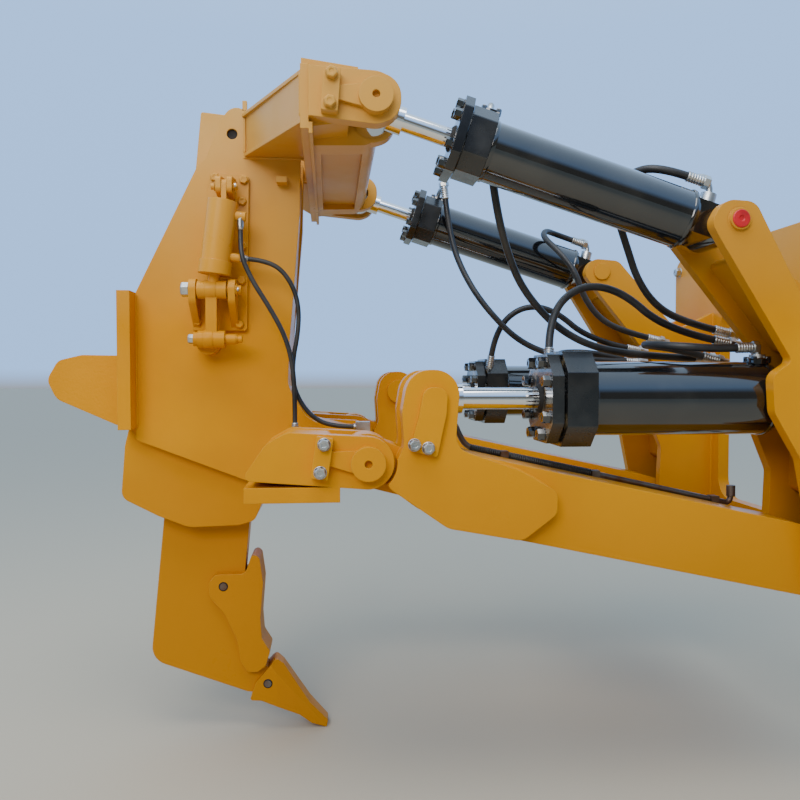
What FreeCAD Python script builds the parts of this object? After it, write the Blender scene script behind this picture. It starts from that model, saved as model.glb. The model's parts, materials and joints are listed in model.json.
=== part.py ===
import FreeCAD, Part
import math
import os

# Rear single-shank ripper of a track-type tractor, in millimetres.
# The frame: X points forward to the tractor, Y to its left, Z up. The origin is the
# centre of the mounting face that bolts to the tractor's rear case.

V = FreeCAD.Vector

# Pivots of the linkage, as X and Z
ARM_PIVOT = (-250, -600)
CARRIAGE_PIVOT = (-2065, -165)
TILT_ROD_PIN = (-2035, 1137)
TILT_HEAD_PIN = (-705, 722)
LIFT_ROD_PIN = (-1825, 62)
LIFT_HEAD_PIN = (-330, 60)
GROUND = -1500

# Clearances
RUNNING = 0.05
SEAT = 0.3
SIDE_PLAY = 6

# Pins
PIN_RADIUS = 45
CARRIAGE_PIN_RADIUS = 50
SMALL_PIN_RADIUS = 16

# Widths across the machine, each side of the middle plane
CYLINDER_OFFSET = 700
BRACKET_GAP = 300
BRACKET_PLATE = 50
ARM_WIDTH = 240
ARM_EYE_WIDTH = 160
EAR_GAP = 150
EAR_DOUBLER = 50
FORK_PLATE = 60
SHANK_THICKNESS = 100
SIDE_PLATE = 50
CARRIAGE_HALF_WIDTH = 200
TILT_FORK_PLATE = 60
TILT_FORK_GAP = 160
REAR_PLATE_HALF_WIDTH = 300

# Tractor mounting
MOUNT_THICKNESS = 60
MOUNT_HALF_WIDTH = 960
MOUNT_HALF_HEIGHT = 850
MOUNT_WINDOW_HALF_WIDTH = 420
MOUNT_WINDOW_HALF_HEIGHT = 520
BOLT_HOLE_RADIUS = 17
BOLT_EDGE = 55
BOLT_COLUMN = MOUNT_HALF_WIDTH - BOLT_EDGE
BOLT_ROW_OUTER = 780
BOLT_ROW_INNER = 300
ARM_EAR_RADIUS = 115
LIFT_BOSS_RADIUS = 95

# Lift cylinders, as distances from the head pin along the cylinder
LIFT_EYE_RADIUS = 85
LIFT_EYE_WIDTH = 200
LIFT_NECK_HEIGHT = 150
LIFT_BARREL_START = 115
LIFT_BARREL_END = 893
LIFT_BARREL_RADIUS = 144
LIFT_DOME = 60
LIFT_WALL = 25
LIFT_GLAND_WIDTH = 360
LIFT_GLAND_CHAMFER = 80
LIFT_GLAND_LENGTH = 115
LIFT_CAP_GAP = 8
LIFT_CAP_RADIUS = 168
LIFT_CAP_LENGTH = 45
LIFT_ROD_RADIUS = 42
LIFT_ROD_EYE_RADIUS = 85
LIFT_ROD_EYE_WIDTH = EAR_GAP - 2 * SIDE_PLAY
LIFT_ROD_INSIDE = 460

# Tilt cylinders, as distances from the head pin along the cylinder
TILT_EYE_RADIUS = 75
TILT_EYE_WIDTH = 200
TILT_NECK_HEIGHT = 130
TILT_BARREL_START = 100
TILT_BARREL_END = 945
TILT_BARREL_RADIUS = 113
TILT_DOME = 30
TILT_WALL = 22
TILT_GLAND_WIDTH = 248
TILT_GLAND_CHAMFER = 55
TILT_GLAND_LENGTH = 95
TILT_CAP_GAP = 6
TILT_CAP_RADIUS = 141
TILT_CAP_LENGTH = 35
TILT_ROD_RADIUS = 36
TILT_ROD_EYE_RADIUS = 78
TILT_ROD_EYE_WIDTH = 148
TILT_ROD_INSIDE = 480

# Shank, leaning forward at the top
SHANK_DEPTH = 385
SHANK_TOP = 1336
SHANK_REAR_TOP = -2775
SHANK_LEAN = 5.62
SHANK_PLAY = 3
SHANK_HOLE_RADIUS = 46
SHANK_HOLE_PITCH = 400
SHANK_PIN_HEIGHT = 300
SHANK_REAR_LENGTH = 2500
SHANK_HEEL_RADIUS = 85
SHANK_NOSE = [(-2556, -1040, 300), (-2530, -1170, 30), (-2462, -1235, 15), (-2462, -1300, 20),
              (-2575, -1321, 60)]
GUARD_CHEEK = 32
GUARD_PIN = (-2688, -815)
TIP_CHEEK = 24
TIP_PIN = (-2490, -1275)
TIP_CREST = (-2420, -1196)
TIP_POINT = (-2214, -1474)
TIP_CREST_HALF_WIDTH = 34


def corner_rounded(points, to_vector):
    """A closed wire through (a, b, radius) points, each corner rounded by its radius."""
    flat = [V(a, b, 0) for a, b, radius in points]
    count = len(flat)
    starts, ends, middles = [], [], []
    for index, (a, b, radius) in enumerate(points):
        here = flat[index]
        before = (flat[index - 1] - here).normalize()
        after = (flat[(index + 1) % count] - here).normalize()
        if radius == 0:
            starts.append(here)
            ends.append(here)
            middles.append(None)
            continue
        half = before.getAngle(after) / 2
        reach = radius / math.tan(half)
        inward = (before + after).normalize()
        starts.append(here + before * reach)
        ends.append(here + after * reach)
        middles.append(here + inward * (radius / math.sin(half) - radius))
    edges = []
    for index in range(count):
        following = (index + 1) % count
        if middles[index] is not None:
            arc = [to_vector(p.x, p.y) for p in (starts[index], middles[index], ends[index])]
            edges.append(Part.Arc(*arc).toShape())
        start, end = ends[index], starts[following]
        if (end - start).Length > 0.01:
            line = Part.LineSegment(to_vector(start.x, start.y), to_vector(end.x, end.y))
            edges.append(line.toShape())
    return Part.Wire(edges)


def side_slab(points, low, high):
    """A plate with an outline in X and Z, from y = low to y = high."""
    wire = corner_rounded(points, lambda a, b: V(a, low, b))
    return Part.Face(wire).extrude(V(0, high - low, 0))


def level_slab(points, low, high):
    """A plate with an outline in X and Y, from z = low to z = high."""
    wire = corner_rounded(points, lambda a, b: V(a, b, low))
    return Part.Face(wire).extrude(V(0, 0, high - low))


def cross_slab(points, low, high):
    """A plate with an outline in Y and Z, from x = low to x = high."""
    wire = corner_rounded(points, lambda a, b: V(low, a, b))
    return Part.Face(wire).extrude(V(high - low, 0, 0))


def block(x, y, z):
    """A box from three (low, high) pairs."""
    size = (x[1] - x[0], y[1] - y[0], z[1] - z[0])
    return Part.makeBox(*size, V(x[0], y[0], z[0]))


def across(centre, radius, low, high):
    """A round bar along Y, its centre given as X and Z."""
    return Part.makeCylinder(radius, high - low, V(centre[0], low, centre[1]), V(0, 1, 0))


def lengthwise(radius, start, end):
    """A round bar along X on the X axis."""
    return Part.makeCylinder(radius, end - start, V(start, 0, 0), V(1, 0, 0))


def joined(shapes):
    """One solid from shapes that touch or overlap."""
    first, rest = shapes[0], shapes[1:]
    whole = first.fuse(rest) if rest else first
    return whole.removeSplitter()


def mirrored(shape):
    """The same piece on the other side of the machine."""
    return shape.mirror(V(0, 0, 0), V(0, 1, 0))


def hex_bolt(centre, radius, face, height):
    """A hexagon head on an outer face at y = face, with its washer."""
    corners = []
    for index in range(6):
        angle = math.radians(60 * index)
        corners.append((centre[0] + radius * math.cos(angle), centre[1] + radius * math.sin(angle), 0))
    head = side_slab(corners, face - height, face)
    washer = across(centre, radius * 1.12, face - 4, face + 1)
    return head.fuse(washer)


def both_sides(shape):
    return Part.makeCompound([shape, mirrored(shape)])


def shifted(point, x, z):
    return (point[0] + x, point[1] + z)


def laid_out(shape, start, end):
    """A piece drawn along +X from the origin, laid from one pin towards another."""
    angle = math.atan2(end[1] - start[1], end[0] - start[0])
    turn = FreeCAD.Rotation(V(0, 1, 0), -math.degrees(angle))
    placed = shape.copy()
    placed.Placement = FreeCAD.Placement(V(start[0], -CYLINDER_OFFSET, start[1]), turn)
    return placed


def distance(start, end):
    return math.hypot(end[0] - start[0], end[1] - start[1])


BRACKET_INNER = (-CYLINDER_OFFSET + BRACKET_GAP / 2, -CYLINDER_OFFSET + BRACKET_GAP / 2 + BRACKET_PLATE)
BRACKET_OUTER = (-CYLINDER_OFFSET - BRACKET_GAP / 2 - BRACKET_PLATE, -CYLINDER_OFFSET - BRACKET_GAP / 2)


def mount_plate():
    """The plate that bolts to the tractor, with a window in the middle."""
    width, height = MOUNT_HALF_WIDTH, MOUNT_HALF_HEIGHT
    outline = [(-width, -height, 80), (width, -height, 80), (width, height, 80), (-width, height, 80)]
    plate = cross_slab(outline, -MOUNT_THICKNESS, 0)
    width, height = MOUNT_WINDOW_HALF_WIDTH, MOUNT_WINDOW_HALF_HEIGHT
    window = [(-width, -height, 120), (width, -height, 120), (width, height, 120), (-width, height, 120)]
    plate = plate.cut(cross_slab(window, -MOUNT_THICKNESS - 1, 1))
    for y in (-BOLT_COLUMN, BOLT_COLUMN):
        for z in (-BOLT_ROW_OUTER, -BOLT_ROW_INNER, BOLT_ROW_INNER, BOLT_ROW_OUTER):
            start = V(-MOUNT_THICKNESS - 1, y, z)
            hole = Part.makeCylinder(BOLT_HOLE_RADIUS, MOUNT_THICKNESS + 2, start, V(1, 0, 0))
            plate = plate.cut(hole)
    return plate


def bracket_foot():
    """The lower part of both bracket plates, from the lift pin down to the arm pin."""
    arm = ARM_PIVOT
    return [
        (arm[0] - ARM_EAR_RADIUS, arm[1] + 20, 60),
        (arm[0] - ARM_EAR_RADIUS * 0.8, arm[1] - ARM_EAR_RADIUS, 60),
        (-MOUNT_THICKNESS, arm[1] - 200, 0),
    ]


def outer_bracket_outline():
    """The outer plate: an ear at the tilt pin, a strap slanting down, and a nose at the lift pin."""
    tilt, lift = TILT_HEAD_PIN, LIFT_HEAD_PIN
    return [
        (-MOUNT_THICKNESS, lift[1] + 440, 0),
        (lift[0] - 75, lift[1] + 285, 90),
        (tilt[0] + 62, tilt[1] + 66, 60),
        (tilt[0] - 60, tilt[1] + 72, 70),
        (tilt[0] - 106, tilt[1] - 14, 50),
        (tilt[0] - 62, tilt[1] - 86, 40),
        (lift[0] - 160, lift[1] + 142, 22),
        (lift[0] - 236, lift[1] + 92, 50),
        (lift[0] - 226, lift[1] - 50, 60),
        (lift[0] - 120, lift[1] - 226, 60),
    ] + bracket_foot()


def inner_bracket_outline():
    """The inner plate, whose rear edge stands further forward than the outer one's."""
    tilt, lift = TILT_HEAD_PIN, LIFT_HEAD_PIN
    return [
        (-MOUNT_THICKNESS, lift[1] + 440, 0),
        (lift[0] + 60, lift[1] + 340, 90),
        (tilt[0] + 95, tilt[1] + 60, 60),
        (tilt[0] - 60, tilt[1] + 72, 70),
        (tilt[0] - 100, tilt[1] - 14, 50),
        (tilt[0] - 30, tilt[1] - 100, 40),
        (lift[0] - 43, lift[1] + 125, 40),
        (lift[0] - 125, lift[1] + 70, 40),
        (lift[0] - 115, lift[1] - 90, 60),
        (lift[0] - 23, lift[1] - 311, 60),
    ] + bracket_foot()


def bracket():
    """Right bracket: two plates with webs between them, bored for the three pins."""
    plates = [
        side_slab(outer_bracket_outline(), *BRACKET_OUTER),
        side_slab(inner_bracket_outline(), *BRACKET_INNER),
    ]
    bosses = []
    for pin, radius, width in ((TILT_HEAD_PIN, 68, TILT_EYE_WIDTH), (LIFT_HEAD_PIN, 80, LIFT_EYE_WIDTH),
                               (ARM_PIVOT, 95, ARM_WIDTH)):
        reach = width / 2 + SIDE_PLAY
        bosses.append(across(pin, radius, BRACKET_OUTER[1], -CYLINDER_OFFSET - reach))
        bosses.append(across(pin, radius, -CYLINDER_OFFSET + reach, BRACKET_INNER[0]))
    between = (BRACKET_OUTER[1], BRACKET_INNER[0])
    tilt, lift = TILT_HEAD_PIN, LIFT_HEAD_PIN
    upper_web = side_slab([
        (-MOUNT_THICKNESS, lift[1] + 340, 0),
        (lift[0] + 60, lift[1] + 300, 60),
        (tilt[0] + 110, tilt[1] - 90, 20),
        (tilt[0] + 66, tilt[1] - 122, 20),
        (lift[0] - 20, lift[1] + 185, 50),
        (-MOUNT_THICKNESS, lift[1] + 185, 0),
    ], *between)
    lower_web = side_slab([
        (-MOUNT_THICKNESS, lift[1] - 190, 0),
        (lift[0] + 60, lift[1] - 190, 40),
        (lift[0] + 60, ARM_PIVOT[1] + 260, 40),
        (-MOUNT_THICKNESS, ARM_PIVOT[1] + 260, 0),
    ], *between)
    whole = joined(plates + bosses + [upper_web, lower_web])
    for pin in (TILT_HEAD_PIN, LIFT_HEAD_PIN, ARM_PIVOT):
        bore = across(pin, PIN_RADIUS + RUNNING, BRACKET_OUTER[0] - 50, BRACKET_INNER[1] + 50)
        whole = whole.cut(bore)
    return whole


def fixed_pin(centre, low, high, cap):
    """A pin held in the bracket, with a round cap on its outer end."""
    shaft = across(centre, PIN_RADIUS, low, high)
    head = across(centre, cap, low - 12, low)
    return joined([shaft, head])


def head_pins():
    """Right lift head pin and right arm pin."""
    low, high = BRACKET_OUTER[0] - SEAT, BRACKET_INNER[1]
    lift = fixed_pin(LIFT_HEAD_PIN, low, high + 10, PIN_RADIUS + 20)
    arm = fixed_pin(ARM_PIVOT, low, high + 10, PIN_RADIUS + 25)
    return Part.makeCompound([lift, arm])


def tilt_head_pin():
    low, high = BRACKET_OUTER[0] - SEAT, BRACKET_INNER[1]
    return fixed_pin(TILT_HEAD_PIN, low, high + 10, PIN_RADIUS - 5)


def octagon_bar(width, chamfer, start, end):
    """A square bar with chamfered edges, along X."""
    half = width / 2
    cut = half - chamfer
    outline = [(-half, -cut, 8), (-cut, -half, 8), (cut, -half, 8), (half, -cut, 8),
               (half, cut, 8), (cut, half, 8), (-cut, half, 8), (-half, cut, 8)]
    return cross_slab(outline, start, end)


def barrel(kind):
    """A closed tube with a domed head end, a neck and an eye, drawn from the head pin along +X."""
    tube = lengthwise(kind["radius"], kind["start"], kind["end"])
    rear_edge = [edge for edge in tube.Edges
                 if edge.BoundBox.XLength < 0.1 and abs(edge.BoundBox.XMin - kind["start"]) < 0.1]
    tube = tube.makeFillet(kind["dome"], rear_edge)
    neck = block((0, kind["start"] + kind["dome"]), (-kind["eye_width"] / 2, kind["eye_width"] / 2),
                 (-kind["neck"] / 2, kind["neck"] / 2))
    eye = across((0, 0), kind["eye_radius"], -kind["eye_width"] / 2, kind["eye_width"] / 2)
    whole = joined([tube, neck, eye])
    whole = whole.cut(lengthwise(kind["radius"] - kind["wall"], kind["start"] + kind["dome"], kind["end"] + 1))
    return whole.cut(across((0, 0), PIN_RADIUS + RUNNING, -kind["eye_width"], kind["eye_width"]))


def gland(kind):
    """The bolted gland block and its front cap, around the rod."""
    start = kind["end"]
    middle = start + kind["gland_length"]
    front = middle + kind["cap_gap"]
    body = octagon_bar(kind["gland_width"], kind["gland_chamfer"], start, middle)
    collar = lengthwise(kind["cap_radius"] - 25, middle, front)
    cap = octagon_bar(kind["cap_radius"] * 2, kind["gland_chamfer"], front, front + kind["cap_length"])
    whole = joined([body, collar, cap])
    return whole.cut(lengthwise(kind["rod_radius"] + RUNNING, start - 1, front + kind["cap_length"] + 1))


def rod(kind, length):
    """A chromed rod with its eye; the eye has no bore, because its pin ends in the lugs."""
    shaft = lengthwise(kind["rod_radius"], kind["rod_inside"], length - kind["rod_eye_radius"] / 2)
    eye = across((length, 0), kind["rod_eye_radius"], -kind["rod_eye_width"] / 2, kind["rod_eye_width"] / 2)
    collar = lengthwise(kind["rod_radius"] + 16, length - kind["rod_eye_radius"] - 40, length)
    return joined([shaft, collar, eye])


LIFT = {
    "radius": LIFT_BARREL_RADIUS, "start": LIFT_BARREL_START, "end": LIFT_BARREL_END,
    "dome": LIFT_DOME, "wall": LIFT_WALL, "neck": LIFT_NECK_HEIGHT,
    "eye_radius": LIFT_EYE_RADIUS, "eye_width": LIFT_EYE_WIDTH,
    "gland_width": LIFT_GLAND_WIDTH, "gland_chamfer": LIFT_GLAND_CHAMFER,
    "gland_length": LIFT_GLAND_LENGTH, "cap_gap": LIFT_CAP_GAP,
    "cap_radius": LIFT_CAP_RADIUS, "cap_length": LIFT_CAP_LENGTH,
    "rod_radius": LIFT_ROD_RADIUS, "rod_inside": LIFT_ROD_INSIDE,
    "rod_eye_radius": LIFT_ROD_EYE_RADIUS, "rod_eye_width": LIFT_ROD_EYE_WIDTH,
}
TILT = {
    "radius": TILT_BARREL_RADIUS, "start": TILT_BARREL_START, "end": TILT_BARREL_END,
    "dome": TILT_DOME, "wall": TILT_WALL, "neck": TILT_NECK_HEIGHT,
    "eye_radius": TILT_EYE_RADIUS, "eye_width": TILT_EYE_WIDTH,
    "gland_width": TILT_GLAND_WIDTH, "gland_chamfer": TILT_GLAND_CHAMFER,
    "gland_length": TILT_GLAND_LENGTH, "cap_gap": TILT_CAP_GAP,
    "cap_radius": TILT_CAP_RADIUS, "cap_length": TILT_CAP_LENGTH,
    "rod_radius": TILT_ROD_RADIUS, "rod_inside": TILT_ROD_INSIDE,
    "rod_eye_radius": TILT_ROD_EYE_RADIUS, "rod_eye_width": TILT_ROD_EYE_WIDTH,
}


ARM_OUTER = -CYLINDER_OFFSET - ARM_WIDTH / 2
ARM_INNER = -CYLINDER_OFFSET + ARM_WIDTH / 2
EAR_LOW = -CYLINDER_OFFSET - EAR_GAP / 2
EAR_HIGH = -CYLINDER_OFFSET + EAR_GAP / 2
EYE_LOW = -CYLINDER_OFFSET - ARM_EYE_WIDTH / 2
EYE_HIGH = -CYLINDER_OFFSET + ARM_EYE_WIDTH / 2
ARM_EYE_RADIUS = 100
ARM_FRONT_EYE_RADIUS = 130
ARM_RELIEF = 106
EAR_RADIUS = 108
EAR_POCKET_FLOOR = -180


def arm_body_outline():
    """Side view of the wide box of the arm, from the ears to the front eye."""
    rear, ear = CARRIAGE_PIVOT, LIFT_ROD_PIN
    return [
        (ear[0] - 105, rear[1] + 60, 40),
        (ear[0] + 20, rear[1] + 10, 30),
        (ear[0] + 128, rear[1] + 27, 60),
        (ARM_PIVOT[0] - 147, ARM_PIVOT[1] + 177, 60),
        (ARM_PIVOT[0], ARM_PIVOT[1] + ARM_FRONT_EYE_RADIUS, 0),
        (ARM_PIVOT[0], ARM_PIVOT[1] - ARM_FRONT_EYE_RADIUS, 0),
        (ear[0] + 320, rear[1] - 297, 80),
        (rear[0] + 186, rear[1] - 175, 80),
        (rear[0] + 50, rear[1] - 75, 40),
    ]


def ear_outline():
    """Side view of an ear and its doubler on the arm's side."""
    rear, ear = CARRIAGE_PIVOT, LIFT_ROD_PIN
    return [
        (ear[0] - EAR_RADIUS - 10, ear[1] - 40, 60),
        (ear[0] - EAR_RADIUS + 15, ear[1] + EAR_RADIUS, 90),
        (ear[0] + EAR_RADIUS - 12, ear[1] + EAR_RADIUS, 90),
        (ear[0] + 75, ear[1] - 175, 60),
        (ear[0] + 320, ear[1] - 262, 40),
        (ear[0] + 455, ear[1] - 340, 40),
        (ear[0] + 455, ear[1] - 420, 40),
        (ear[0] + 325, ear[1] - 518, 60),
        (rear[0] + 290, rear[1] - 240, 80),
        (rear[0] + 60, rear[1] - 80, 40),
        (rear[0] + 130, rear[1] + 60, 60),
    ]


def draft_arm():
    """Right lower arm: a box with ears for the lift rod, an eye at the carriage and one at the tractor."""
    box = side_slab(arm_body_outline(), ARM_OUTER, ARM_INNER)
    front_eye = across(ARM_PIVOT, ARM_FRONT_EYE_RADIUS, ARM_OUTER, ARM_INNER)
    outer_ear = side_slab(ear_outline(), ARM_OUTER - EAR_DOUBLER, EAR_LOW)
    inner_ear = side_slab(ear_outline(), EAR_HIGH, ARM_INNER + 10)
    relief = across(CARRIAGE_PIVOT, ARM_RELIEF, ARM_OUTER - 200, ARM_INNER + 200)
    wide = joined([box, front_eye, outer_ear, inner_ear]).cut(relief)
    rear_eye = across(CARRIAGE_PIVOT, ARM_EYE_RADIUS, EYE_LOW, EYE_HIGH)
    rear = CARRIAGE_PIVOT
    neck = side_slab([
        (rear[0], rear[1] + 98, 0),
        (rear[0] + 200, rear[1] + 20, 0),
        (rear[0] + 200, rear[1] - 150, 0),
        (rear[0], rear[1] - 98, 0),
    ], EYE_LOW, EYE_HIGH)
    whole = joined([wide, rear_eye, neck])
    ear = LIFT_ROD_PIN
    pocket = side_slab([
        (ear[0] - 140, EAR_POCKET_FLOOR + 100, 0),
        (ear[0] - 110, EAR_POCKET_FLOOR, 40),
        (ear[0] + 60, EAR_POCKET_FLOOR, 60),
        (ear[0] + 150, EAR_POCKET_FLOOR + 100, 0),
        (ear[0] + 150, ear[1] + 160, 0),
        (ear[0] - 140, ear[1] + 160, 0),
    ], EAR_LOW, EAR_HIGH)
    whole = whole.cut(pocket)
    whole = whole.cut(across(CARRIAGE_PIVOT, CARRIAGE_PIN_RADIUS + RUNNING, -1000, -400))
    whole = whole.cut(across(ARM_PIVOT, PIN_RADIUS + RUNNING, -1000, -400))
    return whole.cut(across(LIFT_ROD_PIN, PIN_RADIUS + RUNNING, -1000, -400))


CROSS_BEAM_X = (-1000, -640)
CROSS_BEAM_Z = (-560, -380)


def cross_beam():
    """The box beam that ties the two arms together, with rounded long edges."""
    half = -ARM_INNER
    outline = [
        (CROSS_BEAM_X[0], CROSS_BEAM_Z[0], 40),
        (CROSS_BEAM_X[1], CROSS_BEAM_Z[0] - 40, 40),
        (CROSS_BEAM_X[1], CROSS_BEAM_Z[1] - 20, 40),
        (CROSS_BEAM_X[0], CROSS_BEAM_Z[1] + 40, 40),
    ]
    return side_slab(outline, -half, half)


def lift_rod_pins():
    """Pin ends in the right ears, with the flag that keeps them from turning."""
    ear = LIFT_ROD_PIN
    outer_face = ARM_OUTER - EAR_DOUBLER
    outer = across(ear, PIN_RADIUS, outer_face - SEAT, EAR_LOW - SEAT)
    flag = side_slab([
        (ear[0] - 40, ear[1] + 46, 40),
        (ear[0] + 46, ear[1] + 46, 40),
        (ear[0] + 40, ear[1] - 50, 30),
        (ear[0] + 6, ear[1] - 205, 10),
        (ear[0] - 92, ear[1] - 180, 10),
        (ear[0] - 60, ear[1] - 60, 30),
    ], outer_face - SEAT - 22, outer_face - SEAT)
    bolts = [hex_bolt((ear[0] - 76, ear[1] - 160), 19, outer_face - SEAT - 22, 14),
             hex_bolt((ear[0] - 26, ear[1] - 172), 19, outer_face - SEAT - 22, 14)]
    inner = across(ear, PIN_RADIUS, EAR_HIGH + SEAT, ARM_INNER + 10 + SEAT)
    head = across(ear, PIN_RADIUS + 18, ARM_INNER + 10 + SEAT, ARM_INNER + 40)
    return Part.makeCompound([joined([outer, flag] + bolts), joined([inner, head])])


FORK_OUTER_FACE = -CYLINDER_OFFSET - ARM_EYE_WIDTH / 2 - 20 - FORK_PLATE
FORK_OUTER = (FORK_OUTER_FACE, FORK_OUTER_FACE + FORK_PLATE)
FORK_INNER = (-CYLINDER_OFFSET + ARM_EYE_WIDTH / 2 + 20, -CYLINDER_OFFSET + ARM_EYE_WIDTH / 2 + 20 + FORK_PLATE)
FORK_RADIUS = 95


def fork_outline():
    pivot = CARRIAGE_PIVOT
    return [
        (pivot[0] - 435, pivot[1] - 35, 20),
        (pivot[0] - 365, pivot[1] + 69, 60),
        (pivot[0] - 290, pivot[1] + 112, 60),
        (pivot[0], pivot[1] + FORK_RADIUS, 0),
        (pivot[0], pivot[1] - FORK_RADIUS, 0),
        (pivot[0] - 435, pivot[1] - 60, 20),
    ]


def lower_clevis():
    """Right fork of the carriage, on its side box and lower flange."""
    pivot = CARRIAGE_PIVOT
    plates = []
    for low, high in (FORK_OUTER, FORK_INNER):
        plates.append(side_slab(fork_outline(), low, high))
        plates.append(across(pivot, FORK_RADIUS, low, high))
    base = side_slab([
        (pivot[0] - 420, pivot[1] - 35, 0),
        (pivot[0] - 355, pivot[1] + 65, 60),
        (pivot[0] - 285, pivot[1] + 105, 40),
        (pivot[0] - 125, pivot[1] + 100, 30),
        (pivot[0] - 125, pivot[1] - 100, 0),
        (pivot[0] - 420, pivot[1] - 70, 0),
    ], FORK_OUTER[1], FORK_INNER[0])
    flange = block((pivot[0] - 440, pivot[0] - 100), (FORK_OUTER[0], -CARRIAGE_HALF_WIDTH),
                   (pivot[1] - 140, pivot[1] - 85))
    side_box = side_slab([
        (pivot[0] - 425, pivot[1] - 100, 0),
        (pivot[0] - 425, pivot[1] + 10, 40),
        (pivot[0] - 100, pivot[1] + 50, 40),
        (pivot[0] + 60, pivot[1] + 40, 40),
        (pivot[0] + 60, pivot[1] - 70, 40),
        (pivot[0] - 100, pivot[1] - 100, 0),
    ], FORK_INNER[0], -CARRIAGE_HALF_WIDTH)
    whole = joined(plates + [base, flange, side_box])
    return whole.cut(across(pivot, CARRIAGE_PIN_RADIUS + RUNNING, -1000, FORK_INNER[1]))


def rear_pins():
    """The two pins between the arms and the carriage."""
    pin = across(CARRIAGE_PIVOT, CARRIAGE_PIN_RADIUS, FORK_OUTER[0] + 1, FORK_INNER[1] - 1)
    return both_sides(pin)


def pin_keeper(centre, face, reach, heading):
    """A boss with a tapered flag, lying on a face at y = face."""
    along = V(math.cos(heading), 0, math.sin(heading))
    up = V(-along.z, 0, along.x)
    middle = V(centre[0], 0, centre[1])
    corners = []
    for s, t, radius in ((-10, 50, 0), (reach, 22, 6), (reach, -22, 6), (-10, -50, 0)):
        point = middle + along * s + up * t
        corners.append((point.x, point.z, radius))
    flag = side_slab(corners, face - 20, face)
    boss = across(centre, 62, face - 42, face)
    hole = across(centre, 14, face - 43, face - 20)
    step = middle + along * (reach - 20)
    bar = []
    for s, t in ((0, 75), (60, 75), (60, -75), (0, -75)):
        point = step + along * s + up * t
        bar.append((point.x, point.z, 6))
    pieces = [flag, boss, side_slab(bar, face - 45, face)]
    for t in (-50, 50):
        point = step + along * 30 + up * t
        pieces.append(hex_bolt((point.x, point.z), 19, face - 45, 14))
    return joined(pieces).cut(hole)


def rear_pin_flags():
    keeper = pin_keeper(CARRIAGE_PIVOT, FORK_OUTER[0] - SEAT, 155, math.radians(172))
    return both_sides(keeper)


SIDE_Y = (CARRIAGE_HALF_WIDTH - SIDE_PLATE, CARRIAGE_HALF_WIDTH)
REAR_PLATE_X = (-3088, -3034)
REAR_PLATE_Z = (-80, 506)
LUG_HOLE = (-2619, 1195)
LUG_HOLE_RADIUS = 23


def lean(x, z, along, down):
    """A point along (forward) and down from (x, z) in the shank's leaning frame, as X and Z."""
    angle = math.radians(SHANK_LEAN)
    return (x + along * math.cos(angle) - down * math.sin(angle),
            z - along * math.sin(angle) - down * math.cos(angle))


def side_outline():
    pivot = CARRIAGE_PIVOT
    return [
        (-2769, 1052, 15),
        (-2730, 1088, 30),
        (-2662, 1262, 60),
        (-2622, 1312, 55),
        (-2552, 1302, 50),
        (-2540, 1200, 0),
        (-2325, 1160, 0),
        (-2330, 850, 60),
        (-2376, 305, 60),
        (-2385, 100, 120),
        (-2290, -60, 120),
        (pivot[0] + 60, pivot[1] + 90, 80),
        (pivot[0] + 60, pivot[1] - 90, 80),
        (pivot[0] - 100, pivot[1] - 140, 0),
        (-2574, -311, 20),
        (-3040, -130, 20),
        (REAR_PLATE_X[1], REAR_PLATE_Z[1], 20),
    ]


def shank_slot():
    """The space that the shank passes through, open at both ends."""
    play = SHANK_PLAY
    points = []
    for along, down in ((-play, -200), (SHANK_DEPTH + play, -200), (SHANK_DEPTH + play, 2100), (-play, 2100)):
        x, z = lean(SHANK_REAR_TOP, SHANK_TOP, along, down)
        points.append((x, z, 0))
    half = SHANK_THICKNESS / 2 + SEAT
    return side_slab(points, -half, half)


def pocket_outline():
    return [
        (-3070, 60, 0),
        (-3080, -80, 0),
        (-3099, -161, 0),
        (-3117, -390, 50),
        (-2957, -474, 120),
        (-2826, -526, 120),
        (-2606, -520, 60),
        (-2538, -500, 40),
        (-2506, -425, 30),
        (-2545, -280, 0),
        (-2480, 60, 0),
    ]


def carriage_frame():
    """Side plates, cross webs, the lower shank pocket and the rear plate, welded into one."""
    sides = [side_slab(side_outline(), *SIDE_Y), side_slab(side_outline(), -SIDE_Y[1], -SIDE_Y[0])]
    inner = SIDE_Y[0]
    pocket = side_slab(pocket_outline(), -inner, inner)
    rear_plate = block(REAR_PLATE_X, (-REAR_PLATE_HALF_WIDTH, REAR_PLATE_HALF_WIDTH), REAR_PLATE_Z)
    rear_web = side_slab([(-2822, 845, 0), (-2858, 845, 0), (-3022, 506, 0), (-3034, 480, 0), (-3034, 20, 0),
                          (-2980, 20, 0), (-2980, 490, 0)], -inner, inner)
    front_web = side_slab([(-2330, 1050, 0), (-2390, 1050, 0), (-2430, 305, 0), (-2440, 80, 0), (-2300, -120, 0),
                           (-2100, -150, 0), (-2100, -90, 0), (-2270, -50, 0), (-2385, 100, 0), (-2376, 305, 0)],
                          -inner, inner)
    floor = side_slab([(-2574, -300, 0), (-2165, -300, 0), (-2165, -250, 0), (-2520, -240, 0)], -inner, inner)
    guide = side_slab([(-2762, 1045, 0), (-2720, 1092, 0), (-2668, 1226, 0), (-2400, 1150, 0), (-2330, 1040, 0),
                       (-2340, 890, 0), (-2836, 890, 0)], -inner, inner)
    tube = across(CARRIAGE_PIVOT, 60, -inner, inner)
    whole = joined(sides + [pocket, rear_plate, rear_web, front_web, floor, guide, tube])
    whole = whole.cut(shank_slot())
    pin_x, pin_z = shank_pin_centre()
    whole = whole.cut(across((pin_x, pin_z), SHANK_HOLE_RADIUS, -260, 260))
    return whole.cut(across(LUG_HOLE, LUG_HOLE_RADIUS, -260, 260))


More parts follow.
